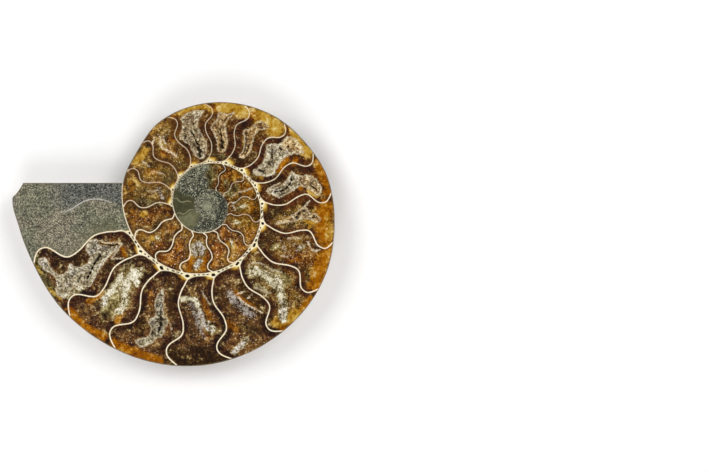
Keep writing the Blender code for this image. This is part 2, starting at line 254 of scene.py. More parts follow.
COLOURS = {
    "gold": (
        (1.5, .85, (-149, .90), (-143, .88), (-138, .86)),
        (1.2, .3, (-131, .95), (-124, .96), (-116, .95)),
        (1.5, .9, (-110, .96), (-100, .97), (-91, .95)),
        (2.8, 1, (-86, .94), (-80, .91), (-74, .93), (-70, .91)),
        (3.3, 1, (-63, .91), (-57, .90), (-51, .88), (-48, .84)),
        (2.2, 1, (-44, .97), (-36, .96), (-28, .94)), (1.3, .9, (-8, .71), (-6.2, .78)),
        (1.6, .6, (6, .91), (14, .94)), (1.9, .9, (50, .95), (56, .92), (59, .87)),
        (1.1, .9, (-211, .69)), (1.0, .9, (-188, .66), (-187, .58)), (1.0, .6, (-303, .68)),
        (1.0, .4, (-438, .6)), (1.0, .45, (-162, .72), (-160, .8)), (.9, .7, (9, .69), (12, .65)),
        (.7, .8, (8.5, .40), (13, .24)), (.9, .9, (7.4, .77), (9.4, .68), (8.6, .62)),
        (1.2, .35, (-176, .92), (-168, .9)), (.7, .6, (-30, .12), (-27, .17)),
        (1.3, .7, (-303, .62), (-297, .5)), (.9, .3, (-351, .6), (-346, .55)),
        (.8, .5, (-409, .7), (-403, .65)), (.8, .7, (148, .94), (152, .97)),
        (.7, .6, (158, .95), (161, .97)),
    ),
    "amber": (
        (3.2, 1, (1, .88), (8, .84), (14, .88)), (2.8, 0.9, (20, .94), (28, .90), (36, .93)),
        (1.5, 0.9, (42, .98), (50, .98), (58, .96)), (2.0, 0.8, (-22, .96), (-12, .97), (-7, .95)),
        (1.8, 0.9, (107, .97), (116, .95), (124, .95)),
        (1.6, 0.9, (128, .94), (136, .97), (143, .95)), (1.2, 0.8, (127.5, .76), (129, .62)),
        (1.2, 0.6, (141, .76), (140, .6)), (1.0, 0.6, (64.5, .56), (68, .42), (71, .31)),
        (1.0, 0.5, (88.5, .5), (91, .35), (93, .25)), (1.0, 0.5, (90, .70), (92, .6)),
        (1.6, 0.5, (-173, .85), (-163, .82)), (1.6, 0.5, (-150, .6), (-146, .5)),
        (1.5, 0.6, (-130, .55), (-126, .48)), (1.2, 0.6, (-119, .62), (-116, .55)),
        (1.3, 0.9, (-31, .62), (-28.5, .52), (-26, .45)), (1.0, 0.8, (-14, .62), (-11, .6)),
        (1.0, 0.8, (-28, .74), (-25, .66)), (1.2, 0.48, (-405, .82), (-415, .76)),
        (1.2, 0.48, (-386, .85), (-376, .76)), (1.3, 0.48, (-368, .8), (-353, .72)),
        (1.3, 0.42, (-340, .8), (-325, .78)), (1.2, 0.48, (-313, .86), (-306, .8)),
        (1.3, 0.42, (-291, .86), (-278, .82)), (1.2, 0.48, (-266, .88), (-252, .88)),
        (1.3, 0.42, (-242, .86), (-230, .84)), (1.2, 0.36, (-220, .86), (-204, .84)),
        (1.2, 0.3, (-195, .84), (-184, .84)), (1.2, 0.36, (-234, .4), (-238, .6)),
        (1.0, 0.7, (148, .18), (153, .16), (159, .2)), (1.3, 0.9, (-267, .86), (-268, .6)),
        (1.2, .9, (-255, .9), (-252, .6)), (1.6, 0.5, (76, .70), (80, .6)),
        (1.2, 0.4, (120, .4), (123, .3)), (1.0, 0.6, (30, .6), (34, .5)),
    ),
    "umber": (
        (1.5, 1, (63.5, .68), (61.2, .60), (63.3, .5), (67, .36), (67.5, .25)),
        (3.4, 1, (86, .98), (93, .94), (100, .92), (103, .9)), (2.0, .9, (89, .86), (95, .82)),
        (1.8, 1, (118, .74), (119, .64)), (2.0, .8, (-1, .3), (4, .2), (9, .12)),
        (2.2, .6, (22, .2), (30, .2), (35, .25)), (2.0, .7, (-57, .12), (-50, .16), (-47, .3)),
        (1.8, .8, (-21, .38), (-18, .2)), (2.0, .7, (109, .36), (112, .22), (118, .14)),
        (1.5, 1, (132.3, .82), (134, .70)), (1.6, 1, (133.6, .60), (134.6, .56)),
        (1.2, .7, (147, .46), (150, .3), (152, .2)), (1.8, .6, (78, .34), (81, .2)),
        (1.9, 1, (156.8, .77), (159.0, .78)), (2.6, 1, (156.8, .57), (159, .56)),
        (1.3, .8, (127, .3), (131, .15)), (1.2, .8, (42.5, .62), (41.5, .5), (44, .35), (47, .2)),
        (1.5, .5, (-62, .62), (-64, .7)), (1.5, .7, (-23, .62), (-22, .72)),
        (1.3, .8, (-86, .35), (-83, .2)), (1.5, .6, (70, .75), (66, .85)),
        (1.2, .7, (105.5, .5), (109, .42)), (1.3, .7, (123, .55), (124, .45)),
        (2.0, .5, (-145, .15), (-138, .2)), (1.6, .7, (-204, .55), (-199, .4)),
        (1.6, .7, (-223, .55), (-218, .4)), (1.4, .5, (-247, .6), (-243, .4)),
        (1.8, .5, (-117, .45), (-113, .55)), (1.6, .5, (-49, .3), (-44, .25)),
        (1.4, .5, (-330, .15), (-322, .12)),
    ),
    "milk": (
        (1.5, 1, (129.8, .63), (130.6, .52), (134.0, .44), (136, .36), (138, .22)),
        (1.3, 1, (137.5, .62), (138.5, .5), (140.5, .34)), (1.5, .7, (133, .3), (136, .16)),
        (1.0, .9, (134.4, .71), (136.6, .64)), (3.8, .40, (134, .66), (136, .45), (138, .25)),
        (1.5, 1, (56, .88), (52, .76), (49.5, .64), (48.8, .5), (50, .36), (53, .24)),
        (2.3, .55, (44, .58), (47, .42), (55, .22)), (1.4, .5, (56, .5), (58, .38)),
        (.9, 1, (89.5, .60), (92, .5), (94.5, .38), (97, .28), (101, .27), (104.5, .28)),
        (1.5, .9, (87.5, .62), (90, .56)), (1.0, .9, (73.5, .85), (77, .90), (79.5, .93)),
        (.9, .5, (22, .62), (25, .58)), (1.0, 1, (-260, .83), (-263, .68)),
        (1.2, 1, (-264, .5), (-263, .34), (-257, .27), (-253, .36), (-256, .5)),
        (1.0, .7, (-213, .60)), (.7, .6, (-302, .58), (-305, .5)), (1.2, .6, (147, .85), (147, .7)),
        (.9, .4, (-360, .5), (-357, .35)), (.8, .5, (-332, .4), (-330, .3)),
        (.9, .5, (29, .3), (33, .25)),
    ),
    "ash": (
        (1.7, .9, (67.5, .62), (70.5, .50), (74, .38), (77, .28)),
        (1.2, .6, (98, .32), (94, .55), (91, .68)), (1.0, .6, (23, .6), (26, .55)),
        (1.2, .5, (-160, .3), (-170, .2)), (1.0, .5, (136, .62), (137, .75)),
        (1.0, .5, (-365, .2), (-352, .15)), (1.2, .4, (30, .4), (24, .3)),
        (1.2, .35, (24, .55), (23, .4)), (1.0, .35, (32, .58), (31, .48)),
        (1.3, .8, (101, .27), (97, .34), (93, .44)),
    ),
    "olive": (
        (2.2, 1, (-449, .95), (-446, .5), (-448, .1)), (1.2, .7, (-436, .8), (-438, .45)),
        (1.2, .7, (-412, .45), (-404, .3)), (1.4, .8, (-392, .5), (-388, .2)),
        (1.0, .6, (-360, .4), (-352, .3)), (1.2, .5, (-172, .15), (-160, .12)),
        (1.6, .6, (-150, .2), (-138, .14)), (1.4, .5, (-126, .2), (-117, .12)),
        (1.2, .5, (-34, .08), (-26, .1)), (1.4, .6, (-86, .12), (-72, .1)),
        (1.6, .5, (88, .94), (98, .97)), (2.0, .9, (150, .97), (158, .96), (168, .97)),
        (1.5, .6, (26, .14), (34, .12)), (1.8, .5, (70, .78), (74, .7)),
        (1.6, .6, (-178, .3), (-176, .7)),
    ),
    "lilac": (
        (3.0, 1, (-262, .85), (-262, .3)), (2.2, 1, (94, .46), (90, .62)),
        (2.4, 1, (74, .88), (80, .95)), (2.0, .6, (134.5, .70), (137, .66)),
        (1.6, .6, (53, .74), (56, .86)),
    ),
}

# Thin cream cracks and veins: half width in millimetres, strength, and a line as above.
VEINS = (
    (.20, .9, (-124, .80), (-124.5, .75), (-127, .69), (-128, .63), (-126, .56), (-125.5, .50),
     (-123, .43), (-121.5, .33)),
    (.13, .9, (-131.5, .82), (-129, .84), (-127, .87)),
    (.13, .8, (-122, .76), (-123.5, .69), (-123.5, .62)),
    (.15, .6, (-145.5, .80), (-145, .72), (-146, .64)),
    (.15, .5, (-148, .55), (-145.5, .45), (-144, .3)),
    (.15, .5, (-166, .52), (-165, .40), (-162, .30)),
    (.15, .8, (21, .84), (22.8, .78), (22.4, .72), (19.8, .66)),
    (.14, .7, (19, .57), (19.8, .47), (22, .39)), (.13, .6, (32, .47), (34, .38)),
    (.12, .9, (62.4, .68), (65, .58), (69, .46), (71, .36)), (.10, .9, (62.6, .42), (66.5, .44)),
    (.10, .9, (66.0, .35), (71, .33)),
    (.16, .6, (41.5, .5), (44.5, .38), (46, .25), (50, .15), (55, .13)),
    (.14, .5, (54, .56), (57, .45), (60, .37)),
    (.14, .5, (-382, .97), (-381.5, .75), (-383, .50), (-381, .2)),
    (.13, .7, (-3, .68), (0, .61), (1, .59)), (.12, .5, (88, .35), (93, .2)),
    (.12, .6, (148, .2), (151, .3), (154, .18)),
    (.15, .7, (-17.6, .36), (-16.5, .24), (-15.2, .16)), (.12, .5, (106, .62), (107.5, .55)),
)


# ---------------------------------------------------------------- the coil

def wall_radius(angle):
    """Radius of the coil's outer wall at a growth angle."""
    even = RADIUS * np.exp(WIDENING * angle - SLOWING * angle * angle)
    gain = 1.0
    for middle, reach, share in WAVERS:
        away = np.minimum(1.0, np.abs(np.degrees(angle) - middle) / reach)
        gain = gain + 0.5 * share * (1.0 + np.cos(math.pi * away))
    return even * gain


def coil_centre():
    """Centre of the coil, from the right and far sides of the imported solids."""
    turn = np.linspace(SAWN_END - TURN, SAWN_END, 2881)
    reach = wall_radius(turn)
    right = (reach * np.cos(turn)).max()
    far = (-reach * np.sin(turn)).max()
    return CAD_HIGH.x - right, CAD_HIGH.y - far


COIL_X, COIL_Y = coil_centre()


def place(angle, radius):
    """X and Y of points of the coil, as rows."""
    x = COIL_X + radius * np.cos(angle)
    y = COIL_Y - radius * np.sin(angle)
    return np.stack(np.broadcast_arrays(x, y), axis=-1)


def smooth(value):
    """Smooth step from 0 to 1."""
    value = np.clip(value, 0.0, 1.0)
    return value * value * (3.0 - 2.0 * value)


def rise(value, start, reach):
    """Smooth step that starts at one value and ends a reach away from it."""
    return smooth((value - start) / reach)


def spiral_place(points):
    """Growth angle and share of the whorl of points on the cut."""
    x = points[:, 0] - COIL_X
    y = points[:, 1] - COIL_Y
    radius = np.maximum(np.hypot(x, y), 1e-6)
    angle = np.arctan2(-y, x) + TURN
    for _ in range(9):
        angle = np.where(radius < wall_radius(angle - TURN), angle - TURN, angle)
    inner = wall_radius(angle - TURN)
    return angle, (radius - inner) / (wall_radius(angle) - inner)


def whorl_place(angle, share):
    """X and Y of a growth angle and share of the whorl."""
    inner = wall_radius(angle - TURN)
    return place(angle, inner + share * (wall_radius(angle) - inner))


def whorl_height(angle):
    """Distance between a whorl's walls."""
    return wall_radius(angle) - wall_radius(angle - TURN)


def swing(step):
    """Eases from 0 to 1, rounder at the ends and steeper between than a cosine."""
    wave = 0.5 - 0.5 * np.cos(math.pi * step)
    return 0.45 * wave + 0.55 * smooth(wave)


def wall_lean(share, wall):
    """How far one wall leans ahead of the common line, in degrees, at a share of the whorl."""
    angles, *leans = np.array(WALL_LEANS, float).T
    total = 0.0
    start, before = FOOT, 0.0
    for end, lean in zip(LEAN_SHARES, leans):
        after = np.interp(np.degrees(wall), angles, lean)
        total = total + (after - before) * smooth((share - start) / (end - start))
        start, before = end, after
    return total


def wall_bend(share, wall):
    """How far forward, in radians, a chamber wall has swung at a share of the whorl."""
    share = np.asarray(share, float)
    (foot, low), (knee, high) = WALL_BENDS[:2]
    climb = np.sin(0.5 * math.pi * np.clip((share - foot) / (knee - foot), -0.3, 1.0))
    bend = low + (high - low) * climb
    for (start, before), (end, after) in zip(WALL_BENDS[1:], WALL_BENDS[2:]):
        step = np.clip((share - start) / (end - start), 0.0, 1.0)
        bend = np.where(share > start, before + (after - before) * swing(step), bend)
    return np.radians(bend + wall_lean(share, wall))


def wall_angles():
    """Growth angles of all chamber walls, oldest first, in radians."""
    return np.radians(np.cumsum((FIRST_WALL,) + CHAMBER_SPANS))


# ---------------------------------------------------------------- the ribbed side

def outward(share):
    """0 at the crest of the flank and 1 at the outer edge."""
    return np.clip((share - CREST) / (1.0 - CREST), 0.0, 1.0)


def rib_wave(angle, share, count):
    """0 on the ribs and 1 in the furrows between them."""
    bend = RIB_BEND * np.sin(3.8 * (share - 0.3))
    return 0.5 - 0.5 * np.cos(count * (angle - bend))


def rib_groove(angle, share):
    """Depth of the furrows, with a fine second rib between the broad ones further out."""
    height = RIB_DEPTH_SHARE * wall_radius(angle)
    broad = rib_wave(angle, share, RIBS_PER_TURN)
    fine = rib_wave(angle, share, 2 * RIBS_PER_TURN) * smooth((share - 0.55) / 0.15)
    hair = rib_wave(angle, share, 8 * RIBS_PER_TURN) * 0.05
    fade = smooth((share - 0.28) / 0.2) * smooth((1.0 - share) / 0.08)
    return height * (broad + 0.35 * fine * (1.0 - broad) + hair) * fade


def flank_depth(angle, share):
    """Distance of the outer side from the middle plane of the shell."""
    crest = THICKNESS_SHARE * wall_radius(angle)
    flank = crest * np.power(1.0 - outward(share) ** 2, FLANK_ROUNDING)
    low = seam_depth(angle)
    climb = np.clip((share - SEAM) / (CREST - SEAM), 0.0, 1.0)
    wall = low + (crest - low) * np.power(1.0 - np.power(1.0 - climb, 2.2), 0.45)
    return np.where(share >= CREST, flank, wall) - rib_groove(angle, share)


def seam_depth(angle):
    """Depth of the umbilical seam, where a whorl meets the flank of the turn before it."""
    before = angle - TURN
    share = SEAM * wall_radius(angle) / wall_radius(before)
    crest = THICKNESS_SHARE * wall_radius(before)
    met = crest * np.power(1.0 - outward(share) ** 2, FLANK_ROUNDING) - rib_groove(before, share)
    first = angle < SAWN_END - TURNS_SHOWN * TURN + TURN
    return np.where(first, FIRST_SEAM_SHARE * THICKNESS_SHARE * wall_radius(angle), met)


def sawn_shift(nominal, radius):
    """Turns the grid rows near the sawn end into its straight line."""
    away = (nominal - SAWN_END + 0.5 * TURN) % TURN - 0.5 * TURN
    weight = np.cos(0.5 * math.pi * np.clip(away / SHEAR_REACH, -1.0, 1.0)) ** 2
    line = np.arcsin(np.minimum(0.75, SAWN_EDGE_Y / radius))
    return weight * (math.pi + line - SAWN_END)


def lost_edge(angle):
    """What the outer edge has lost: the worn corner, and a pressed side after a slight swelling."""
    worn = np.clip((angle - SAWN_END + WORN_CORNER_ARC) / WORN_CORNER_ARC, 0.0, 1.0)
    pressed = 1.0 - np.abs(angle - PRESSED_CENTRE) / PRESSED_ARC
    swollen = 1.0 - np.abs(angle - SWOLLEN_CENTRE) / SWOLLEN_ARC
    corner = WORN_CORNER * worn ** WORN_CORNER_FALL
    return corner + PRESSED_SIDE * smooth(pressed) - SWOLLEN_SIDE * smooth(swollen)


class RibbedSide:
    """Grid of the outer side. Rows follow the coil, and columns run from the seam outwards."""

    rows_per_turn = 720
    seam_columns = 6
    cover_columns = 3
    outer_columns = 16

    def __init__(self):
        self.cover = self.seam_columns + self.cover_columns
        self.last = self.cover + self.outer_columns
        self.last_row = TURNS_SHOWN * self.rows_per_turn
        self.open_row = self.last_row - self.rows_per_turn
        rows = np.arange(self.last_row + 1)
        nominal = SAWN_END + (rows / self.rows_per_turn - TURNS_SHOWN) * TURN
        columns = np.arange(self.last + 1)
        self.solve(nominal[:, None], columns[None, :], rows[:, None])
        self.number()

    def share_of(self, angle, column):
        """Share of the radius at which a column runs."""
        cover = SEAM * wall_radius(angle + TURN) / wall_radius(angle)
        climb = np.clip(column / self.seam_columns, 0.0, 1.0) ** 1.7
        inner = SEAM + (CREST - SEAM) * climb
        step = np.clip((column - self.seam_columns) / self.cover_columns, 0.0, 1.0)
        inner = np.where(step > 0.0, CREST + (cover - CREST) * step, inner)
        start = np.arcsin(outward(cover))
        slide = np.clip((column - self.cover) / self.outer_columns, 0.0, 1.0)
        outer = CREST + (1.0 - CREST) * np.sin(start + (0.5 * math.pi - start) * slide)
        return np.where(column > self.cover, outer, inner)

    def solve(self, nominal, column, row):
        """Works out every grid point, and what the materials need to know about it."""
        angle = np.broadcast_to(nominal, (nominal.shape[0], column.shape[1])).copy()
        for _ in range(8):
            share = self.share_of(angle, column)
            radius = share * wall_radius(angle) - lost_edge(angle) * outward(share) ** 2
            angle = nominal + sawn_shift(nominal, radius)
        points = place(angle, radius)
        points[..., 0] = np.maximum(points[..., 0], CAD_LOW.x)
        level = CUT_SLOPE_X * (points[..., 0] - COIL_X) + CUT_SLOPE_Y * (points[..., 1] - COIL_Y)
        level = level * np.where(row >= self.open_row, 1.0 - outward(share) ** 3, 1.0)
        depth = np.clip(flank_depth(angle, share) + level, EDGE_BEVEL, CUT_HEIGHT)
        self.points = np.concatenate([points, CUT_HEIGHT - depth[..., None]], axis=-1)
        self.angle = angle
        self.share = share
        # Painted shade: 1 in the furrows between the ribs, where the material darkens the shell.
        self.groove = rib_wave(angle, share, RIBS_PER_TURN) * smooth((share - 0.28) / 0.2)

    def rim(self):
        """The edge of the cut face: the last column, drawn in by the worn bevel."""
        rows = slice(self.open_row, self.last_row + 1)
        nominal = self.angle[rows, self.last]
        radius = wall_radius(nominal) - lost_edge(nominal) - EDGE_BEVEL
        edge = np.arcsin(np.minimum(0.75, SAWN_EDGE_Y / radius))
        angle = nominal.copy()
        angle[-1] = math.pi + edge[-1]
        angle[0] = edge[0] - math.pi
        return at_height(place(angle, radius), CUT_HEIGHT)

    def number(self):
        """Numbers the vertices. The seam of a turn is a line of the turn before it."""
        index = np.full(self.points.shape[:2], -1, int)
        index[:, :self.cover + 1] = 0
        index[self.open_row:, :] = 0
        index[self.rows_per_turn:, 0] = -1
        own = index == 0
        index[own] = np.arange(own.sum())
        index[self.rows_per_turn:, 0] = index[:-self.rows_per_turn, self.cover]
        self.index = index
        self.own = own

    def quads(self):
        """Faces of the grid."""
        index = self.index
        near, far = index[:-1], index[1:]
        faces = np.stack([near[:, :-1], near[:, 1:], far[:, 1:], far[:, :-1]], axis=-1)
        return faces[(faces >= 0).all(axis=-1)]


# ---------------------------------------------------------------- lines on the cut

def run_along(path):
    """How far along a path each of its points lies."""
    return np.concatenate([[0.0], np.cumsum(np.hypot(*np.diff(path, axis=0).T))])


def points_at(at, run, path):
    """Points at given distances along a path."""
    return np.stack([np.interp(at, run, path[:, axis]) for axis in (0, 1)], axis=-1)


def closed(loop):
    """A loop that ends where it starts."""
    return np.concatenate([loop, loop[:1]])


def search_tree(points):
    """A tree for finding the nearest of many points."""
    tree = KDTree(len(points))
    for number, (x, y) in enumerate(points.tolist()):
        tree.insert((x, y, 0.0), number)
    tree.balance()
    return tree


def distance_to(points, paths):
    """Distance of points from the nearest of some paths."""
    lines = Lines()
    for path in paths:
        lines.add(path, 0.0)
    return lines.finish().nearest(points)[1]


class Lines:
    """Points along the lines of the cut, for finding how far away the nearest one is."""

    step = 0.05 * MM

    def __init__(self):
        self.points = []
        self.half_widths = []
        self.strengths = []
        self.runs = []

    def add(self, points, half_width, strength=1.0):
        """Adds a line through points, cut into short steps."""
        run = run_along(points)
        count = max(2, int(run[-1] / self.step))
        at = np.linspace(0.0, run[-1], count)
        self.points.append(points_at(at, run, points))
        widths = np.broadcast_to(half_width, len(points))
        self.half_widths.append(np.interp(at, run, widths))
        self.strengths.append(np.full(count, strength))
        self.runs.append(at)

    def finish(self):
        """Builds the search tree."""
        self.points = np.concatenate(self.points)
        self.half_widths = np.concatenate(self.half_widths)
        self.strengths = np.concatenate(self.strengths)
        self.runs = np.concatenate(self.runs)
        self.tree = search_tree(self.points)
        return self

    def nearest(self, points):
        """Number of the nearest line point and its distance, for every point."""
        found = [self.tree.find((x, y, 0.0)) for x, y in points[:, :2].tolist()]
        number = np.fromiter((hit[1] for hit in found), int, len(found))
        distance = np.fromiter((hit[2] for hit in found), float, len(found))
        return number, distance


def chamber_wall(wall):
    """Angles and shares along one chamber wall. The oldest walls end in a foot that runs on."""
    share = np.linspace(FOOT, 1.0, 120)
    angle = wall + wall_bend(share, wall)
    if wall < math.radians(LINING_START):
        share = np.linspace(0.015, 1.0, 120)
        angle = wall + wall_bend(np.maximum(share, OLD_FOOT), wall)
        angle += OLD_FOOT_TURN * np.clip((OLD_FOOT - share) / OLD_FOOT, 0.0, 1.0) ** 2
    return angle, share


def lining_spans():
    """Angles of the neighbouring walls that have a lining between their feet."""
    walls = wall_angles()
    return [span for span in zip(walls, walls[1:]) if span[0] > math.radians(LINING_START)]


def lining(start, end):
    """Angles and shares along the lining between the feet of two chamber walls."""
    slide = np.linspace(-1.0, 1.0, 90)
    power = np.where(slide < 0.0, 2.2, 3.0)
    share = LINING + (FOOT - LINING) * np.abs(slide) ** power
    return 0.5 * (start + end) + 0.5 * (end - start) * slide, share


def cream_lines(settings):
    """All cream lines: chamber walls, the lining along their feet, and the whorl walls."""
    lines = Lines()
    for wall in wall_angles():
        width, strength = (np.interp(math.degrees(wall), WALL_AGES, values)
                           for values in (WALL_WIDTHS, WALL_TONES))
        lines.add(whorl_place(*chamber_wall(wall)), 0.5 * settings.wall_width * width, strength)
    for span in lining_spans():
        lines.add(whorl_place(*lining(*span)), LINING_HALF_WIDTH * settings.wall_width,
                  COIL_STRENGTH)
    coil = np.linspace(CALCITE_COIL_START, SAWN_END - TURN + 0.35, 2400)
    lines.add(place(coil, wall_radius(coil)), COIL_HALF_WIDTH * settings.wall_width, COIL_STRENGTH)
    for start, end, strength in MUD_COIL:
        coil = np.radians(np.linspace(start, end, 300))
        lines.add(place(coil, wall_radius(coil)), MUD_COIL_HALF_WIDTH, strength)
    return lines.finish()


def ghost_walls():
    """Walls that show faintly in the mud: their points, and how far they fade at the ends."""
    for wall, low, high in GHOST_WALLS:
        share = np.linspace(low, high, 80)
        at = math.radians(wall) + wall_bend(share, math.radians(wall))
        fade = np.clip(4.0 * np.minimum(share - low, high - share) / (high - low), 0.2, 1.0)
        yield whorl_place(at, share), fade


def vein_lines():
    """Thin pale veins that wander a little, and walls that show faintly in the mud."""
    lines = Lines()
    for path, fade in ghost_walls():
        lines.add(path, GHOST_HALF_WIDTH * fade, GHOST_STRENGTH)
    for half, strength, *points in VEINS:
        path = stroke_path(points)
        rough = VEIN_WANDER * np.sin(np.arange(len(path))[:, None] * np.array([1.9, 2.6]))
        lines.add(path + rough, half * MM, strength)
    return lines.finish()


def stroke_path(points):
    """Points one step apart along a stroke given as growth angles and shares."""
    angle, share = np.array(points, float).T
    angle = np.radians(angle)
    run = run_along(whorl_place(angle, share))
    at = np.linspace(0.0, run[-1], max(2, int(run[-1] / STROKE_STEP)))
    return whorl_place(np.interp(at, run, angle), np.interp(at, run, share))


# ---------------------------------------------------------------- hollows and pores

def closed_curve(corners, step):
    """A smooth closed curve through corners, with points one step apart."""
    around = [np.roll(corners, shift, axis=0)[:, None] for shift in (1, 0, -1, -2)]
    slide = np.linspace(0.0, 1.0, 24, endpoint=False)[None, :, None]
    before, start, end, after = around
    curve = 2.0 * start + slide * (end - before)
    curve = curve + slide ** 2 * (2.0 * before - 5.0 * start + 4.0 * end - after)
    curve = 0.5 * (curve + slide ** 3 * (3.0 * start - before - 3.0 * end + after))
    curve = curve.reshape(-1, 2)
    return even_steps(curve, step)


def across(loop):
    """Directions across a closed loop at its points, to the right of its run."""
    ahead = np.roll(loop, -1, axis=0) - np.roll(loop, 1, axis=0)
    return np.stack([ahead[:, 1], -ahead[:, 0]], axis=1) / np.hypot(*ahead.T)[:, None]


def even_steps(curve, step):
    """The points of a closed curve spread evenly."""
    curve = closed(curve)
    run = run_along(curve)
    return points_at(np.linspace(0.0, run[-1], int(run[-1] / step), endpoint=False), run, curve)


class Hollow:
    """One open hollow: its ragged rim, its floor and its slits."""

    rim_step = 0.26 * MM
    lip = 0.9 * MM

    def __init__(self, node, depth, pale, rusty, rim, slits):
        self.node = node
        self.depth = depth * MM
        self.pale = pale
        self.rusty = rusty
        self.seed = int(node[-1])
        angle, share = np.array(rim, float).T
        smooth_rim = closed_curve(whorl_place(np.radians(angle), share), self.rim_step)
        self.rim = self.ragged(smooth_rim)
        self.slits = [(0.85 * half * MM, stroke_path(points)) for half, *points in slits]

    def ragged(self, rim):
        """Moves the points of a rim in and out by a few tenths of a millimetre."""
        chance = np.random.default_rng(self.seed)
        steps = chance.uniform(-1.0, 1.0, len(rim))
        steps = 0.55 * steps + 0.45 * np.roll(steps, 1)
        wide = np.repeat(chance.uniform(-1.0, 1.0, len(rim) // 4 + 1), 4)[:len(rim)]
        return rim + across(rim) * (0.10 * steps + 0.12 * wide)[:, None] * MM

    def from_rim(self, points):
        """Distance of points from the rim."""
        return distance_to(points, [closed(self.rim)])

    def floor(self, away):
        """Depth of the stone floor below the cut, at a distance from the rim."""
        return self.lip + (self.depth - self.lip) * smooth(away / (2.4 * MM))

    def slit(self, points):
        """1 in the middle of the slits and 0 outside them."""
        total = np.zeros(len(points))
        for half, path in self.slits:
            away = points[:, None, :] - path[None, :, :]
            wave = 1.0 + 0.5 * np.sin(points @ np.array([2100.0, 3300.0]))
            near = np.hypot(away[..., 0], away[..., 1]).min(axis=1) / (half * wave)
            reach = min(1.0, half / (0.20 * MM))
            total = np.maximum(total, reach * (1.0 - smooth((near - 0.6) / 0.7)))
        return total


def pore_places():
    """Small pores in the double wall: rows of X, Y, direction, half length and half width."""
    chance = np.random.default_rng(PORE_SEED)
    pores = []
    for start, end in lining_spans():
        size = (0.55 + 0.45 * smooth((start + 2.0) / 2.0)) * MM
        angle, share = lining(start, end)
        spots = whorl_place(angle, 0.5 * share)
        run = run_along(spots)
        at = chance.uniform(0.1, 0.5) * MM
        while at < run[-1] - 0.6 * MM:
            slide = at / run[-1]
            near_foot = max(0.0, 1.0 - slide / 0.12) + max(0.0, (slide - 0.9) / 0.1)
            length = (chance.uniform(0.30, 0.72) + 0.20 * near_foot) * size
            width = (chance.uniform(0.19, 0.27) + 0.30 * near_foot) * size
            here = points_at(at, run, spots)
            turn = -np.interp(at, run, angle) - 0.5 * math.pi + chance.uniform(-0.25, 0.25)
            if chance.uniform() < 0.95:
                pores.append((*here, turn, length, width))
            at += 2.0 * length + chance.uniform(0.30, 0.75) * size
    return pores


def apart(loops, others, gap):
    """The loops that keep a gap to each other and to the other loops."""
    kept = []
    taken = np.concatenate(others)
    for loop in loops:
        centre = loop.mean(0)
        reach = np.hypot(*(loop - centre).T).max() + gap
        if (np.hypot(*(taken - centre).T) > reach).all():
            kept.append(loop)
            taken = np.concatenate([taken, loop])
    return kept


def pore_rim(x, y, direction, length, width):
    """Outline of one pore."""
    turn = np.linspace(0.0, TURN, PORE_CORNERS, endpoint=False)
    along = length * np.cos(turn)
    sideways = width * np.sin(turn) * (1.0 + 0.25 * np.cos(2.0 * turn + x * 9000.0))
    cosine, sine = math.cos(direction), math.sin(direction)
    return np.stack([x + along * cosine - sideways * sine, y + along * sine + sideways * cosine], 1)


def hex_grid(low, high, spacing):
    """Evenly spread points over a rectangle."""
    xs = np.arange(low[0], high[0], spacing)
    ys = np.arange(low[1], high[1], spacing * math.sqrt(0.75))
    x, y = np.meshgrid(xs, ys)
    x[1::2] += 0.5 * spacing
    return np.stack([x.ravel(), y.ravel()], axis=1)


def clear_of(points, others, distance):
    """Which points keep a distance to all others."""
    tree = search_tree(others)
    return np.array([tree.find((x, y, 0.0))[2] > distance for x, y in points.tolist()])


def fill(loops, inner_points):
    """Triangles over the first loop, less the other loops. Returns points and triangles.

    The points of the loops come first, in order, and then the inner ones.
    """
    points = np.concatenate(list(loops) + [inner_points])
    faces = []
    start = 0
    for loop in loops:
        corners = list(range(start, start + len(loop)))
        faces.append(corners if signed_area(loop) > 0.0 else corners[::-1])
        start += len(loop)
    made = delaunay_2d_cdt([Vector(point) for point in points.tolist()], [], faces, 1, 1e-9, True)
    _, _, triangles, old_points, _, owners = made
    if not all(old_points):
        raise ValueError("The loops of a filled sheet cross")
    kept = [face for face, owner in zip(triangles, owners) if list(owner) == [0]]
    old = np.array([origin[0] for origin in old_points])
    triangles = old[np.array(kept)]
    a, b, c = (points[triangles[:, corner]] for corner in range(3))
    turn = (b[:, 0] - a[:, 0]) * (c[:, 1] - a[:, 1]) - (b[:, 1] - a[:, 1]) * (c[:, 0] - a[:, 0])
    triangles[turn < 0.0] = triangles[turn < 0.0][:, ::-1]
    used = np.zeros(len(points), bool)
    used[triangles] = True
    used[:len(points) - len(inner_points)] = True
    return points[used], (np.cumsum(used) - 1)[triangles]


def sheet(loop, spacing, edge, gap):
    """Triangles over a loop, on evenly spread points that keep a gap to the points of an edge."""
    inner = hex_grid(loop.min(0), loop.max(0), spacing)
    inner = inner[inside_polygon(inner, loop)]
    return fill([loop], inner[clear_of(inner, edge, gap)])


def dense(loop, step):
    """Points close together along a closed loop."""
    ends = np.roll(loop, -1, axis=0)
    count = int(np.hypot(*(ends - loop).T).max() / step) + 1
    slides = np.arange(count)[:, None, None] / count
    return (loop + (ends - loop) * slides).reshape(-1, loop.shape[1])


# ---------------------------------------------------------------- meshes

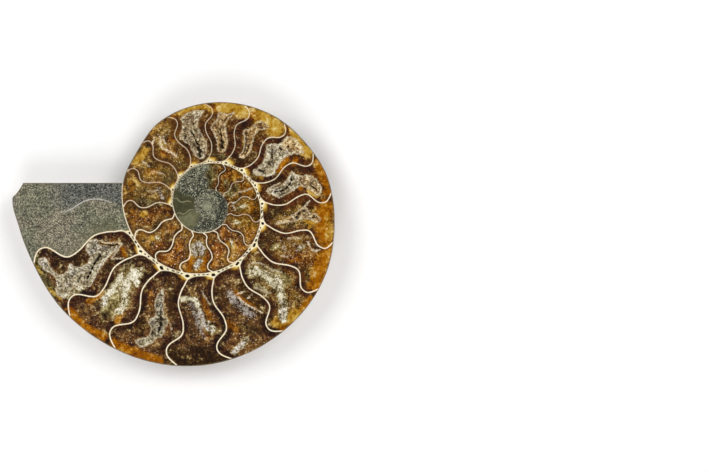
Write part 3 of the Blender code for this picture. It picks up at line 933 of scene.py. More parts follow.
class Skin:
    """Collects vertices, faces and what the materials need, and makes one mesh of them."""

    def __init__(self):
        self.vertices = []
        self.faces = []
        self.slots = []
        self.count = 0
        self.marks = {}

    def add_points(self, points, **marks):
        """Adds vertices with their marks and returns their numbers."""
        start = self.count
        self.vertices.append(np.asarray(points, float))
        self.count += len(points)
        for name, values in marks.items():
            self.marks.setdefault(name, []).append((start, np.broadcast_to(values, len(points))))
        return np.arange(start, self.count)

    def add_faces(self, faces, slot):
        """Adds faces of one material slot."""
        self.faces.extend(np.asarray(faces).tolist() if not isinstance(faces, list) else faces)
        self.slots.extend([slot] * len(faces))

    def add_band(self, high, low, slot):
        """Adds the faces between two closed rows of vertices."""
        self.add_faces(np.stack([high, np.roll(high, -1), np.roll(low, -1), low], axis=-1), slot)

    def make(self, name, materials, smooth_shading=True):
        """Builds the object."""
        mesh = bpy.data.meshes.new(name)
        mesh.from_pydata(np.concatenate(self.vertices).tolist(), [], self.faces)
        mesh.polygons.foreach_set("material_index", self.slots)
        for title, stretches in self.marks.items():
            values = np.zeros(self.count, np.float32)
            for start, part in stretches:
                values[start:start + len(part)] = part
            mesh.attributes.new(title, "FLOAT", "POINT").data.foreach_set("value", values)
        for finish in materials:
            mesh.materials.append(finish)
        mesh.validate()
        mesh.update()
        if smooth_shading:
            mesh.shade_smooth()
            mesh.set_sharp_from_angle(angle=SHARP_EDGE)
        thing = bpy.data.objects.new(name, mesh)
        bpy.context.scene.collection.objects.link(thing)
        return thing


# ---------------------------------------------------------------- markings of the cut

def paint(points, strokes):
    """How strongly points lie on a list of strokes, from 0 to 1."""
    total = np.zeros(len(points))
    for half, strength, *line in strokes:
        path = stroke_path(line)
        reach = 1.6 * half * MM
        low, high = path.min(0) - reach, path.max(0) + reach
        near = np.flatnonzero(((points > low) & (points < high)).all(axis=1))
        away = points[near, None, :] - path[None, :, :]
        closest = np.hypot(away[..., 0], away[..., 1]).min(axis=1) / (half * MM)
        total[near] = np.maximum(total[near], strength * (1.0 - smooth((closest - 0.2) / 1.3)))
    return total


def golden_corners(angle, share):
    """Gold in the corner where each chamber meets the foot of its older wall."""
    corner = np.zeros_like(angle)
    for wall in wall_angles():
        if wall < math.radians(LINING_START):
            continue
        past = (angle - wall - wall_bend(share, wall)) * wall_radius(angle - TURN)
        up = (share - LINING) * whorl_height(angle)
        grown = 0.8 + 0.2 * smooth((math.degrees(wall) + 120.0) / 60.0)
        near = np.hypot(past / (5.0 * MM * grown), up / (2.8 * MM * grown))
        corner = np.maximum(corner, (1.0 - smooth(near)) * (past > -0.2 * MM))
    return corner


def double_wall(angle, share):
    """1 between a whorl's wall and the lining, 0 elsewhere."""
    walls = wall_angles()
    number = np.clip(np.searchsorted(walls, angle) - 1, 0, len(walls) - 2)
    slide = 2.0 * (angle - walls[number]) / (walls[number + 1] - walls[number]) - 1.0
    power = np.where(slide < 0.0, 2.2, 3.0)
    top = LINING + (FOOT - LINING) * np.minimum(np.abs(slide), 1.0) ** power
    above = (share - top) * whorl_height(angle)
    inside = 1.0 - smooth(above / (0.15 * MM) + 0.5)
    return inside * (angle > math.radians(LINING_START)) * (angle < walls[-1] + 0.02)


def face_marks(points, settings, hollows, outline):
    """Everything that the cut's materials read, for points on the cut."""
    lines = cream_lines(settings)
    number, distance = lines.nearest(points)
    veins = vein_lines()
    vein, to_vein = veins.nearest(points)
    angle, share = spiral_place(points)
    walls = wall_angles()
    straight = angle
    for _ in range(3):
        straight = angle - wall_bend(share, straight)
    chamber = np.searchsorted(walls, straight)
    # Millimetres behind the older wall of each chamber, where the calcite material paints shadow.
    behind = (straight - walls[np.clip(chamber - 1, 0, None)]) * wall_radius(angle) / MM
    tones = np.random.default_rng(TONE_SEED).uniform(0.0, 1.0, len(walls) + 1)
    place_degrees, degrees = np.degrees(angle), np.degrees(straight)
    mud = np.maximum(straight > walls[-1], rise(straight, FIRST_MUD_END, -math.radians(10.0)))
    pale = rise(degrees, -604.0, 20.0) * rise(degrees, -558.0, -6.0)
    near_last = rise(share, 0.05, 0.1) * smooth((178.0 - degrees - 12.0 * share) / 16.0)
    middle = np.hypot(points[:, 0] - COIL_X, points[:, 1] - COIL_Y) / MM
    ring = 1.0 - smooth(np.abs(middle * MM - NUCLEUS - 0.12 * MM) / (0.32 * MM))
    ghost = rise(degrees, GHOST_WALLS[2][0], 2.0) * rise(share, 0.75, -0.3)
    slate = np.maximum(0.90 * ghost, 0.35 * smooth(1.0 - 16.0 * (1.0 - share)) * (degrees > 100.0))
    marks = {name: paint(points, strokes) for name, strokes in COLOURS.items()}
    marks.update({
        "line": (distance - lines.half_widths[number]) / MM,
        "line_strength": lines.strengths[number],
        "inward": distance / (0.037 * whorl_height(angle)),
        "vein": (to_vein - veins.half_widths[vein]) / MM,
        "vein_strength": veins.strengths[vein],
        "run": lines.runs[number] / MM,
        "behind": np.clip(behind, 0.0, 9.0),
        "mud": mud,
        "olive_mud": rise(degrees, -604.0, 10.0) * rise(degrees, -506.0, -10.0),
        "pale_mud": np.where(degrees > 100.0, near_last, pale),
        "nucleus": rise(middle * MM, NUCLEUS, -0.2 * MM),
        "slate_mud": slate,
        "speckled_mud": (degrees < 0.0) * np.maximum(ring, 0.20 + 0.80 * rise(middle, 4.1, 0.4)),
        "tone": tones[chamber],
        "rim": distance_to(points, [closed(hollow.rim) for hollow in hollows]) / MM,
        "edge": distance_to(points, [outline]) / MM,
        "old": 0.4 * rise(place_degrees, -180.0, 6.0) * rise(place_degrees, -40.0, -50.0),
        "double": double_wall(angle, share) * (mud < 0.5),
        "corner": golden_corners(angle, share) * (mud < 0.5),
        "dusk": rise(place_degrees, 40.0, 30.0),
        "maroon": rise(place_degrees, -115.0, 60.0),
        "shaded": rise(place_degrees, -118.0, 8.0) * rise(place_degrees, 8.0, -12.0),
        "young": rise(place_degrees, -318.0, -20.0),
        "clear": rise(place_degrees, -345.0, 20.0) * rise(place_degrees, -182.0, -60.0),
    })
    return marks


# ---------------------------------------------------------------- the stone piece

FACE, SIDE, SAWN, PORE, POCKET = range(5)


def build_stone(settings, materials):
    """The whole stone: cut face, hollows, pores, ribbed side, sawn mouth and umbilicus."""
    skin = Skin()
    side = RibbedSide()
    hollows = [Hollow(*values) for values in HOLLOWS]
    skin.add_points(side.points[side.own], growth=side.angle[side.own],
                    share=side.share[side.own], groove=side.groove[side.own], mud=0.0)
    skin.add_faces(side.quads(), SIDE)

    rim = side.rim()
    steps = int(np.hypot(*(rim[0] - rim[-1])[:2]) / (0.4 * MM))
    slide = np.linspace(0.0, 1.0, steps + 1)[1:-1, None]
    straight = rim[-1] + (rim[0] - rim[-1]) * slide
    outline = np.concatenate([rim, straight])[:, :2]

    rims = [hollow.rim for hollow in hollows]
    pores = apart([pore_rim(*values) for values in pore_places()], [outline] + rims, PORE_GAP)
    holes = rims + pores
    spacing = settings.face_spacing
    inner = hex_grid(CAD_LOW[:2], CAD_HIGH[:2], spacing)
    angle, share = spiral_place(inner)
    inside = (share < 1.0) & (angle <= SAWN_END + 0.6)
    inside &= (inner[:, 1] < COIL_Y + SAWN_EDGE_Y) | (angle < math.radians(150.0))
    inner = inner[inside]
    centre_lines = guide_points(settings)
    inner = np.concatenate([centre_lines, inner[clear_of(inner, centre_lines, 0.62 * spacing)]])
    for hollow in hollows:
        inner = inner[~inside_polygon(inner, hollow.rim)]
    ring = np.concatenate([dense(loop, 0.3 * spacing) for loop in [outline] + holes])
    inner = inner[clear_of(inner, ring, 0.55 * spacing)]
    points, triangles = fill([outline] + holes, inner)
    marks = face_marks(points, settings, hollows, outline)
    numbers = skin.add_points(at_height(points, CUT_HEIGHT), **marks)
    skin.add_faces(numbers[triangles], FACE)

    last = side.index[side.open_row:, side.last]
    first = numbers[:len(rim)]
    bevel = np.stack([last[1:], last[:-1], first[:-1], first[1:]], axis=-1)
    skin.add_faces(bevel, SIDE)

    starts = np.cumsum([len(outline)] + [len(hole) for hole in holes])
    loops = [numbers[start:start + len(hole)] for start, hole in zip(starts, holes)]
    for hollow, loop in zip(hollows, loops):
        build_pocket(skin, hollow, loop)
    for pore, loop in zip(pores, loops[len(hollows):]):
        build_pore(skin, pore, loop)
    top = numbers[len(rim):len(outline)]
    build_sawn_mouth(skin, side, np.concatenate([[first[-1]], top, [first[0]]]), rim, straight)
    build_umbilicus(skin, side)
    return skin.make("ammonite_stone", materials)


def guide_points(settings):
    """Vertices along the middle and sides of the cream lines, so that they stay sharp."""
    paths = [chamber_wall(wall) for wall in wall_angles()]
    paths += [lining(*span) for span in lining_spans()]
    paths = [whorl_place(angle, share) for angle, share in paths]
    coil = np.linspace(math.radians(-665.0), SAWN_END - TURN, 3400)
    paths.append(place(coil, wall_radius(coil)))
    paths += [path for path, _ in ghost_walls()]
    paths.append(place(np.linspace(0.0, TURN, 120), NUCLEUS))
    rows = []
    for path in paths:
        run = run_along(path)
        middle = points_at(np.arange(0.2 * MM, run[-1] - 0.1 * MM, GUIDE_STEP), run, path)
        ahead = np.gradient(middle, axis=0)
        side = np.stack([-ahead[:, 1], ahead[:, 0]], axis=1) / np.hypot(*ahead.T)[:, None]
        rows.append(middle)
        for away in (-GUIDE_SIDE, GUIDE_SIDE):
            rows.append(middle + side * (away * settings.wall_width))
    middles = np.concatenate(rows[0::3])
    sides = np.concatenate(rows[1::3] + rows[2::3])
    sides = thinned(sides[clear_of(sides, middles, 0.24 * MM)], 0.2 * MM)
    return np.concatenate([thinned(middles, 0.12 * MM), sides])


def thinned(points, gap):
    """The points that keep a gap to every point before them."""
    tree = search_tree(points)
    kept = np.ones(len(points), bool)
    for number, (x, y) in enumerate(points.tolist()):
        if kept[number]:
            for _, other, _ in tree.find_range((x, y, 0.0), gap):
                if other > number:
                    kept[other] = False
    return points[kept]


def at_height(points, height):
    """Points of the plan lifted to a height."""
    return np.column_stack([points, np.broadcast_to(height, len(points))])


def build_pocket(skin, hollow, loop):
    """Stone walls and floor of one hollow, under its crystal crust."""
    rim = hollow.rim
    points, triangles = sheet(rim, 0.8 * MM, rim, 0.4 * MM)
    depth = hollow.floor(hollow.from_rim(points))
    depth[:len(rim)] = hollow.lip
    numbers = skin.add_points(at_height(points, CUT_HEIGHT - depth))
    skin.add_faces(numbers[triangles], POCKET)
    skin.add_band(loop, numbers[:len(rim)], POCKET)


def build_pore(skin, rim, loop):
    """One small pore, with a narrower bottom."""
    centre = rim.mean(0)
    low = centre + (rim - centre) * PORE_NARROWING
    numbers = skin.add_points(at_height(low, CUT_HEIGHT - PORE_DEPTH))
    skin.add_band(loop, numbers, PORE)
    skin.add_faces([numbers.tolist()], PORE)


def build_sawn_mouth(skin, side, top, rim, straight):
    """The sawn end of the last whorl."""
    last = side.index[side.last_row, :]
    inner = side.index[side.open_row, side.cover + 1:][::-1]
    outer_points = side.points[side.last_row, :]
    inner_points = side.points[side.open_row, side.cover + 1:][::-1]
    loop_numbers = np.concatenate([last, top, inner])
    top_points = np.concatenate([rim[-1:], straight, rim[:1]])
    loop = np.concatenate([outer_points, top_points, inner_points])
    plan = loop[:, [0, 2]]
    points, triangles = sheet(plan, 0.5 * MM, dense(plan, 0.2 * MM), 0.25 * MM)
    height = loop[:, 1].mean()
    extra = points[len(loop):]
    chance = np.random.default_rng(DENT_SEED)
    dents = chance.uniform(0.0, 0.05, len(extra)) * MM
    world = np.stack([extra[:, 0], height - dents, extra[:, 1]], axis=1)
    away = distance_to(extra, [outer_points[:, [0, 2]], inner_points[:, [0, 2]]])
    numbers = skin.add_points(world, mud=1.0, line=away / MM - 0.35)
    numbers = np.concatenate([loop_numbers, numbers])
    skin.add_faces(numbers[triangles][:, ::-1], SAWN)


def inside_polygon(points, loop):
    """Which points lie inside a closed loop."""
    inside = np.zeros(len(points), bool)
    x, y = points.T
    for (ax, ay), (bx, by) in zip(loop, np.roll(loop, -1, axis=0)):
        crossing = (ay > y) != (by > y)
        with np.errstate(divide="ignore", invalid="ignore"):
            at = ax + (y - ay) * (bx - ax) / (by - ay)
        inside ^= crossing & (x < at)
    return inside


def build_umbilicus(skin, side):
    """The first chamber, in the middle of the umbilicus."""
    loop = np.concatenate([side.index[side.rows_per_turn:0:-1, 0], side.index[0, :side.cover]])
    own = np.concatenate([side.points[side.rows_per_turn:0:-1, 0], side.points[0, :side.cover]])
    own[0] = side.points[0, side.cover]
    _, triangles = fill([own[:, :2]], np.zeros((0, 2)))
    skin.add_faces(loop[triangles][:, ::-1], SIDE)


# ---------------------------------------------------------------- the crystal crusts

def crystal_relief(points, spacing, seed):
    """Height and tone of four-sided crystals that cover points."""
    low = points.min(0) - 3.0 * spacing
    cells = np.floor((points - low) / spacing).astype(int)
    size = cells.max(0) + 4
    chance = np.random.default_rng(seed)
    shift = chance.uniform(0.1, 0.9, (*size, 2))
    turn = chance.uniform(0.0, TURN, size)
    steep = chance.uniform(0.7, 1.7, size)
    peak = chance.uniform(0.2, 1.0, size) ** 1.5
    tone = chance.uniform(0.0, 1.0, size)
    height = np.full(len(points), -1e9)
    colour = np.zeros(len(points))
    for right in (-2, -1, 0, 1, 2):
        for up in (-2, -1, 0, 1, 2):
            i = np.clip(cells[:, 0] + right, 0, size[0] - 1)
            j = np.clip(cells[:, 1] + up, 0, size[1] - 1)
            corner = low + np.stack([i, j], axis=1) * spacing
            away = points - corner - shift[i, j] * spacing
            cosine, sine = np.cos(turn[i, j]), np.sin(turn[i, j])
            u = away[:, 0] * cosine + away[:, 1] * sine
            v = away[:, 1] * cosine - away[:, 0] * sine
            slope = np.maximum(np.abs(u), 1.3 * np.abs(v)) * steep[i, j]
            here = peak[i, j] * spacing - slope
            higher = here > height
            height = np.where(higher, here, height)
            colour = np.where(higher, tone[i, j], colour)
    return height, colour


def drawn_in(loop, gap):
    """A loop drawn in by a small gap."""
    return loop - across(loop) * gap * np.sign(signed_area(loop))


def build_crust(hollow, settings, finish):
    """One crust: a closed sheet of small flat-faced crystals that lines a hollow."""
    rim = drawn_in(hollow.rim, 0.03 * MM)
    spacing = settings.crust_spacing
    points, triangles = sheet(rim, spacing, dense(rim, 0.5 * spacing), 0.6 * spacing)
    away = hollow.from_rim(points)
    size = settings.crystal_size
    height, tone = crystal_relief(points, size, CRYSTAL_SEED + hollow.seed)
    floor = hollow.floor(away)
    slit = hollow.slit(points)
    inward = smooth(away / (1.6 * MM))
    depth = 0.06 * MM + 0.35 * (hollow.depth - hollow.lip) * inward
    depth -= (height - 0.25 * size) * smooth(away / (0.5 * MM)) * 1.3
    depth = np.maximum(depth, 0.02 * MM) + slit * 1.2 * MM
    depth = np.minimum(depth, floor - 0.25 * MM)
    depth[:len(rim)] = 0.04 * MM
    bottom = np.clip(floor - 0.12 * MM, depth + 0.1 * MM, None)
    bottom = np.minimum(bottom, floor - 0.02 * MM)
    skin = Skin()
    # The depth below the cut and the slits are kept for the material, which paints shade on both.
    marks = {"tone": tone + hollow.pale, "depth_shade": depth / MM, "away": away / MM, "slit": slit,
             "rusty": hollow.rusty + paint(points, STAINS), "dull": paint(points, DULL)}
    top = skin.add_points(at_height(points, CUT_HEIGHT - depth), **marks)
    under = skin.add_points(at_height(points, CUT_HEIGHT - bottom), **marks)
    skin.add_faces(top[triangles], 0)
    skin.add_faces(under[triangles][:, ::-1], 0)
    high, low = top[:len(rim)], under[:len(rim)]
    if signed_area(rim) > 0.0:
        high, low = low, high
    skin.add_band(high, low, 0)
    return skin.make(hollow.node.replace("crystal_crust", "crystals"), [finish], False)


def signed_area(loop):
    """Area of a closed loop, negative when it runs clockwise."""
    following = np.roll(loop, -1, axis=0)
    return 0.5 * (loop[:, 0] * following[:, 1] - loop[:, 1] * following[:, 0]).sum()


# ---------------------------------------------------------------- materials

class Graph:
    """Short calls for building one material's nodes."""

    def __init__(self, name):
        self.material = bpy.data.materials.new(name)
        self.material.use_nodes = True
        self.tree = self.material.node_tree
        self.shader = self.tree.nodes["Principled BSDF"]

    def node(self, kind, inputs=(), **values):
        """Adds a node, links or sets its inputs by number or name, and sets its values."""
        made = self.tree.nodes.new(kind)
        for name, value in values.items():
            setattr(made, name, value)
        for key, value in dict(inputs).items():
            self.give(made.inputs[key], value)
        return made

    def give(self, socket, value):
        """Links a socket to another, or sets its value."""
        if isinstance(value, bpy.types.NodeSocket):
            self.tree.links.new(value, socket)
        else:
            socket.default_value = value

    def mark(self, name):
        """Value that the mesh carries under a name."""
        return self.node("ShaderNodeAttribute", attribute_name=name).outputs["Fac"]

    def math(self, kind, first, second):
        """One arithmetic step."""
        return self.node("ShaderNodeMath", {0: first, 1: second}, operation=kind).outputs[0]

    def times(self, first, second):
        """Product of two values."""
        return self.math("MULTIPLY", first, second)

    def sum(self, start, *parts):
        """Start, plus each (value, middle, gain) as (value - middle) * gain."""
        total = start - sum(middle * gain for _, middle, gain in parts)
        for value, _, gain in parts:
            total = self.node("ShaderNodeMath", {0: value, 1: gain, 2: total},
                              operation="MULTIPLY_ADD").outputs[0]
        return total

    def window(self, value, low, high, start=0.0, end=1.0):
        """Smoothly carries low..high to start..end, and holds the ends."""
        made = self.node("ShaderNodeMapRange", {0: value, 1: low, 2: high, 3: start, 4: end},
                         interpolation_type="SMOOTHSTEP")
        return made.outputs[0]

    def mix(self, factor, first, second, kind="MIX"):
        """Mixes two colours."""
        made = self.node("ShaderNodeMix", data_type="RGBA", blend_type=kind)
        self.give(made.inputs[0], factor)
        self.give(made.inputs[6], first)
        self.give(made.inputs[7], second)
        return made.outputs[2]

    def richer(self, colour, amount):
        """Strengthens a colour."""
        made = self.node("ShaderNodeHueSaturation", {"Color": colour, "Saturation": amount})
        return made.outputs[0]

    def tints(self, value, *stops):
        """Colour by value. Stops are (place, red, green, blue), in display values."""
        return self.ramp(value, [(at, shade(*colour)) for at, *colour in stops])

    def ramp(self, value, stops):
        """Colour by value. Stops are (place, linear colour)."""
        made = self.node("ShaderNodeValToRGB", {0: value})
        points = made.color_ramp.elements
        while len(points) < len(stops):
            points.new(1.0)
        for point, (at, colour) in zip(points, stops):
            point.position = at
            point.color = (*colour, 1.0)
        return made.outputs[0]

    def millimetres(self):
        """Object coordinates in millimetres."""
        spot = self.node("ShaderNodeTexCoord").outputs["Object"]
        made = self.node("ShaderNodeVectorMath", {0: spot, 1: (1000.0,) * 3}, operation="MULTIPLY")
        return made.outputs[0]

    def vector(self, x, y, z=0.0):
        """Joins three values."""
        return self.node("ShaderNodeCombineXYZ", {0: x, 1: y, 2: z}).outputs[0]

    def noise(self, spot, scale, detail=3.0, rough=0.55, twist=0.0):
        """Cloudy value from 0 to 1."""
        made = self.node("ShaderNodeTexNoise", {"Vector": spot, "Scale": scale, "Detail": detail,
                                                "Roughness": rough, "Distortion": twist})
        return made.outputs[0]

    def cells(self, spot, scale):
        """Voronoi cells: distance and the cell's own random colour."""
        made = self.node("ShaderNodeTexVoronoi", {"Vector": spot, "Scale": scale})
        return made.outputs["Distance"], made.outputs["Color"]

    def jittered(self, spot, amount):
        """A place moved about by up to half an amount, to roughen the edges of cells."""
        cloud = self.node("ShaderNodeTexNoise", {"Vector": spot, "Scale": 5.0, "Detail": 2.0})
        moved = self.node("ShaderNodeVectorMath", operation="MULTIPLY_ADD", inputs={
            0: cloud.outputs["Color"], 1: (amount,) * 3, 2: spot})
        return moved.outputs[0]

    def bump(self, height, distance, strength=1.0):
        """Surface normal from a height in millimetres times distance."""
        made = self.node("ShaderNodeBump", {"Height": height, "Distance": distance,
                                            "Strength": strength})
        return made.outputs[0]

    def finish(self, colour, roughness, normal=None, **fixed):
        """Connects the shader."""
        self.give(self.shader.inputs["Base Color"], colour)
        self.give(self.shader.inputs["Roughness"], roughness)
        if normal is not None:
            self.give(self.shader.inputs["Normal"], normal)
        for name, value in fixed.items():
            self.shader.inputs[name.replace("_", " ")].default_value = value
        return self.material


def shade(red, green, blue):
    """Linear colour of a shade given as display values from 0 to 255."""
    values = (red / 255.0, green / 255.0, blue / 255.0)
    return tuple(value / 12.92 if value < 0.04045 else ((value + 0.055) / 1.055) ** 2.4
                 for value in values)


def opaque(red, green, blue):
    """The same as a colour for a shader, with full cover."""
    return (*shade(red, green, blue), 1.0)


def mud_colour(graph, spot):
    """Set mud: fine grey grains with dark and pale specks, smoother and greener in places."""
    _, grain = graph.cells(graph.jittered(spot, 0.5), 3.0)
    grain = graph.node("ShaderNodeSeparateColor", {0: grain}).outputs[0]
    fine = graph.noise(spot, 3.0, 2.0, 0.8)
    coarse = graph.noise(spot, 0.55, 4.0, 0.65)
    drift = graph.noise(spot, 0.07, 3.0, 0.6)
    value = graph.sum(0.5, (grain, 0.5, 0.85), (fine, 0.5, 2.6), (coarse, 0.5, 0.6),
                      (drift, 0.5, 0.5))
    grains = graph.tints(
        value, (0.02, 32, 31, 24), (0.26, 74, 74, 60), (0.52, 100, 101, 83), (0.80, 130, 129, 107),
        (0.98, 186, 178, 150))
    warm = graph.tints(
        value, (0.02, 36, 32, 25), (0.26, 78, 72, 60), (0.52, 104, 98, 82), (0.80, 130, 124, 104),
        (0.98, 180, 170, 146))
    grains = graph.mix(graph.window(drift, 0.44, 0.60), grains, warm)
    speckle = graph.tints(
        value, (0.08, 10, 11, 8), (0.36, 28, 29, 21), (0.56, 52, 53, 40), (0.78, 96, 97, 77),
        (0.96, 178, 176, 150))
    calm = graph.sum(0.5, (grain, 0.5, 0.14), (fine, 0.5, 0.5), (coarse, 0.5, 0.6),
                     (drift, 0.5, 0.6))
    olive = graph.tints(calm, (0.25, 38, 38, 20), (0.5, 56, 55, 30), (0.8, 84, 80, 50))
    pale = graph.tints(calm, (0.25, 70, 68, 45), (0.5, 97, 95, 68), (0.8, 126, 124, 94))
    slate = graph.tints(value, (0.02, 24, 25, 25), (0.5, 60, 62, 60), (0.95, 130, 130, 122))
    colour = graph.mix(graph.mark("speckled_mud"), grains, speckle)
    colour = graph.mix(graph.mark("olive_mud"), colour, olive)
    colour = graph.mix(graph.mark("slate_mud"), colour, slate)
    nucleus = graph.tints(calm, (0.20, 104, 106, 84), (0.50, 136, 137, 113), (0.80, 176, 173, 148))
    nucleus = graph.mix(0.30, nucleus, grains)
    colour = graph.mix(graph.mark("pale_mud"), colour, pale)
    return graph.mix(graph.mark("nucleus"), colour, nucleus)


def calcite_colour(graph, spot):
    """Amber to dark brown calcite, grown inwards from the chamber walls."""
    inward = graph.mark("inward")
    run = graph.mark("run")
    tone = graph.mark("tone")
    drift = graph.noise(spot, 0.09, 3.0, 0.55)
    blotch = graph.noise(spot, 0.36, 5.0, 0.62, 0.5)
    mottle = graph.noise(spot, 1.2, 4.0, 0.68, 0.2)
    grain = graph.noise(spot, 2.6, 2.0, 0.6)
    comb_spot = graph.vector(graph.times(run, 2.0), graph.times(inward, 0.30), tone)
    comb = graph.noise(comb_spot, 1.0, 3.0, 0.6)
    value = graph.sum(0.40, (blotch, 0.5, 1.7), (mottle, 0.5, 1.5), (grain, 0.5, 1.2),
                      (tone, 0.5, 0.10))
    calm = graph.sum(0.5, (blotch, 0.5, 1.5), (mottle, 0.5, 0.9), (grain, 0.5, 0.35))
    olive_brown = graph.tints(
        value, (0.00, 38, 26, 13), (0.24, 80, 56, 25), (0.46, 116, 86, 37), (0.66, 140, 108, 47),
        (0.84, 178, 148, 82), (0.99, 220, 204, 154))
    rusty_brown = graph.tints(
        value, (0.00, 34, 20, 10), (0.24, 76, 42, 18), (0.46, 114, 68, 27), (0.66, 144, 92, 31),
        (0.84, 180, 130, 59), (0.99, 222, 200, 147))
    base = graph.mix(graph.window(drift, 0.36, 0.56), rusty_brown, olive_brown)
    flecks = graph.noise(spot, 1.7, 3.0, 0.75)
    bright = graph.times(graph.window(flecks, 0.59, 0.65),
                         graph.window(blotch, 0.40, 0.60, 0.25, 0.85))
    base = graph.mix(bright, base, opaque(226, 212, 158))
    base = graph.mix(graph.window(flecks, 0.41, 0.34, 0.0, 0.80), base, opaque(38, 24, 10))
    rusty_dusk = graph.tints(
        value, (0.00, 24, 15, 12), (0.24, 52, 32, 23), (0.46, 84, 53, 34), (0.66, 116, 80, 48),
        (0.84, 164, 134, 92), (0.99, 230, 220, 188))
    base = graph.mix(graph.times(graph.mark("dusk"), 0.75), base, rusty_dusk)
    speck, _ = graph.cells(spot, 1.5)
    sparkle = graph.times(graph.window(speck, 0.28, 0.17),
                          graph.window(mottle, 0.44, 0.58, 0.0, 0.8))
    base = graph.mix(sparkle, base, opaque(224, 214, 184))
    base = graph.mix(graph.mark("shaded"), base, (0.62, 0.48, 0.36, 1.0), "MULTIPLY")
    base = graph.mix(graph.mark("young"), base, (0.88, 0.78, 0.52, 1.0), "MULTIPLY")
    base = graph.mix(graph.mark("clear"), base, (1.56, 1.48, 1.56, 1.0), "MULTIPLY")
    amber_tint = graph.tints(
        calm, (0.12, 96, 49, 13), (0.36, 136, 77, 19), (0.58, 163, 102, 26), (0.90, 203, 153, 64))
    gold_tint = graph.tints(
        calm, (0.12, 121, 80, 27), (0.34, 162, 120, 42), (0.56, 188, 154, 73),
        (0.90, 223, 202, 144))
    umber_tint = graph.tints(value, (0.10, 28, 18, 10), (0.50, 54, 34, 18), (0.95, 128, 92, 41))
    milk_tint = graph.tints(
        value, (0.00, 134, 121, 88), (0.35, 187, 177, 145), (0.65, 222, 216, 194),
        (0.95, 247, 243, 233))
    lilac_milk = graph.tints(
        value, (0.00, 116, 101, 92), (0.35, 166, 156, 145), (0.65, 206, 199, 190),
        (0.95, 243, 240, 235))
    milk_tint = graph.mix(graph.mark("lilac"), milk_tint, lilac_milk)
    ash_tint = graph.tints(value, (0.00, 64, 54, 46), (0.45, 118, 108, 98), (0.90, 200, 191, 178))
    halo_width = graph.sum(2.0, (blotch, 0.5, 3.0), (mottle, 0.5, 1.4), (tone, 0.5, 0.7),
                           (graph.mark("shaded"), 0.0, 1.1))
    halo = graph.window(graph.math("DIVIDE", inward, halo_width), 1.20, 0.60)
    halo_value = graph.sum(0.40, (comb, 0.5, 1.3), (blotch, 0.5, 0.8), (grain, 0.5, 0.3),
                           (drift, 0.5, 1.2), (graph.mark("dusk"), 0.0, -0.22))
    golden_halo = graph.tints(
        halo_value, (0.02, 36, 22, 14), (0.25, 62, 38, 19), (0.50, 90, 57, 26), (0.75, 116, 78, 32),
        (0.98, 150, 108, 48))
    dark_halo = graph.tints(
        halo_value, (0.02, 26, 15, 13), (0.25, 48, 25, 18), (0.50, 74, 40, 23), (0.75, 106, 62, 30),
        (0.98, 146, 98, 52))
    halo_tint = graph.mix(graph.mark("maroon"), golden_halo, dark_halo)
    colour = graph.mix(graph.times(halo, 0.94), base, halo_tint)
    olive_tint = graph.tints(
        value, (0.10, 36, 34, 20), (0.40, 70, 62, 36), (0.66, 104, 92, 54), (0.90, 172, 162, 110))
    gold = graph.mark("gold")
    # Painted shadow: just behind each older chamber wall the gold is taken away, and the amber tint
    # shows there instead.
    wall_shadow = graph.sum(0.0, (graph.mark("behind"), 0.0, 1.0), (blotch, 0.5, 5.0), (mottle, 0.5, 2.0))
    wall_shadow = graph.window(wall_shadow, 3.4, 0.8)
    russet = graph.math("MAXIMUM", graph.mark("amber"), graph.times(gold, 0.8))
    russet = graph.sum(0.0, (russet, 0.0, 1.0), (wall_shadow, 0.0, -0.25))
    unshadowed_gold = graph.sum(0.0, (gold, 0.0, 1.0), (wall_shadow, 0.0, -1.0))
    for place_mark, tint, low, high in ((russet, amber_tint, 0.0, 1.0),
                                        (graph.mark("olive"), olive_tint, 0.1, 0.9),
                                        (graph.mark("umber"), umber_tint, 0.2, 0.8),
                                        (unshadowed_gold, gold_tint, 0.1, 1.0)):
        reach = graph.sum(0.0, (place_mark, 0.0, 1.0), (mottle, 0.5, 1.3), (blotch, 0.5, 1.3))
        colour = graph.mix(graph.window(reach, low, high, 0.0, 0.94), colour, tint)
    haze_tint = graph.tints(
        value, (0.00, 66, 52, 28), (0.35, 124, 108, 64), (0.62, 170, 156, 104),
        (0.92, 222, 212, 172))
    haze = graph.sum(0.0, (graph.mark("milk"), 0.0, 1.0), (mottle, 0.5, 0.9), (blotch, 0.5, 0.9))
    colour = graph.mix(graph.window(haze, 0.02, 0.50, 0.0, 0.85), colour, haze_tint)
    for name, tint, low in (("ash", ash_tint, 0.10), ("milk", milk_tint, 0.22)):
        reach = graph.sum(-0.28, (graph.mark(name), 0.0, 1.0), (mottle, 0.5, 3.0),
                          (grain, 0.5, 2.0), (blotch, 0.5, 2.2), (graph.mark("umber"), 0.0, -1.0))
        solid = graph.times(graph.window(reach, low, low + 0.45),
                           graph.window(graph.mark(name), 0.1, 0.5))
        colour = graph.mix(solid, colour, tint)
    return colour, mottle, grain


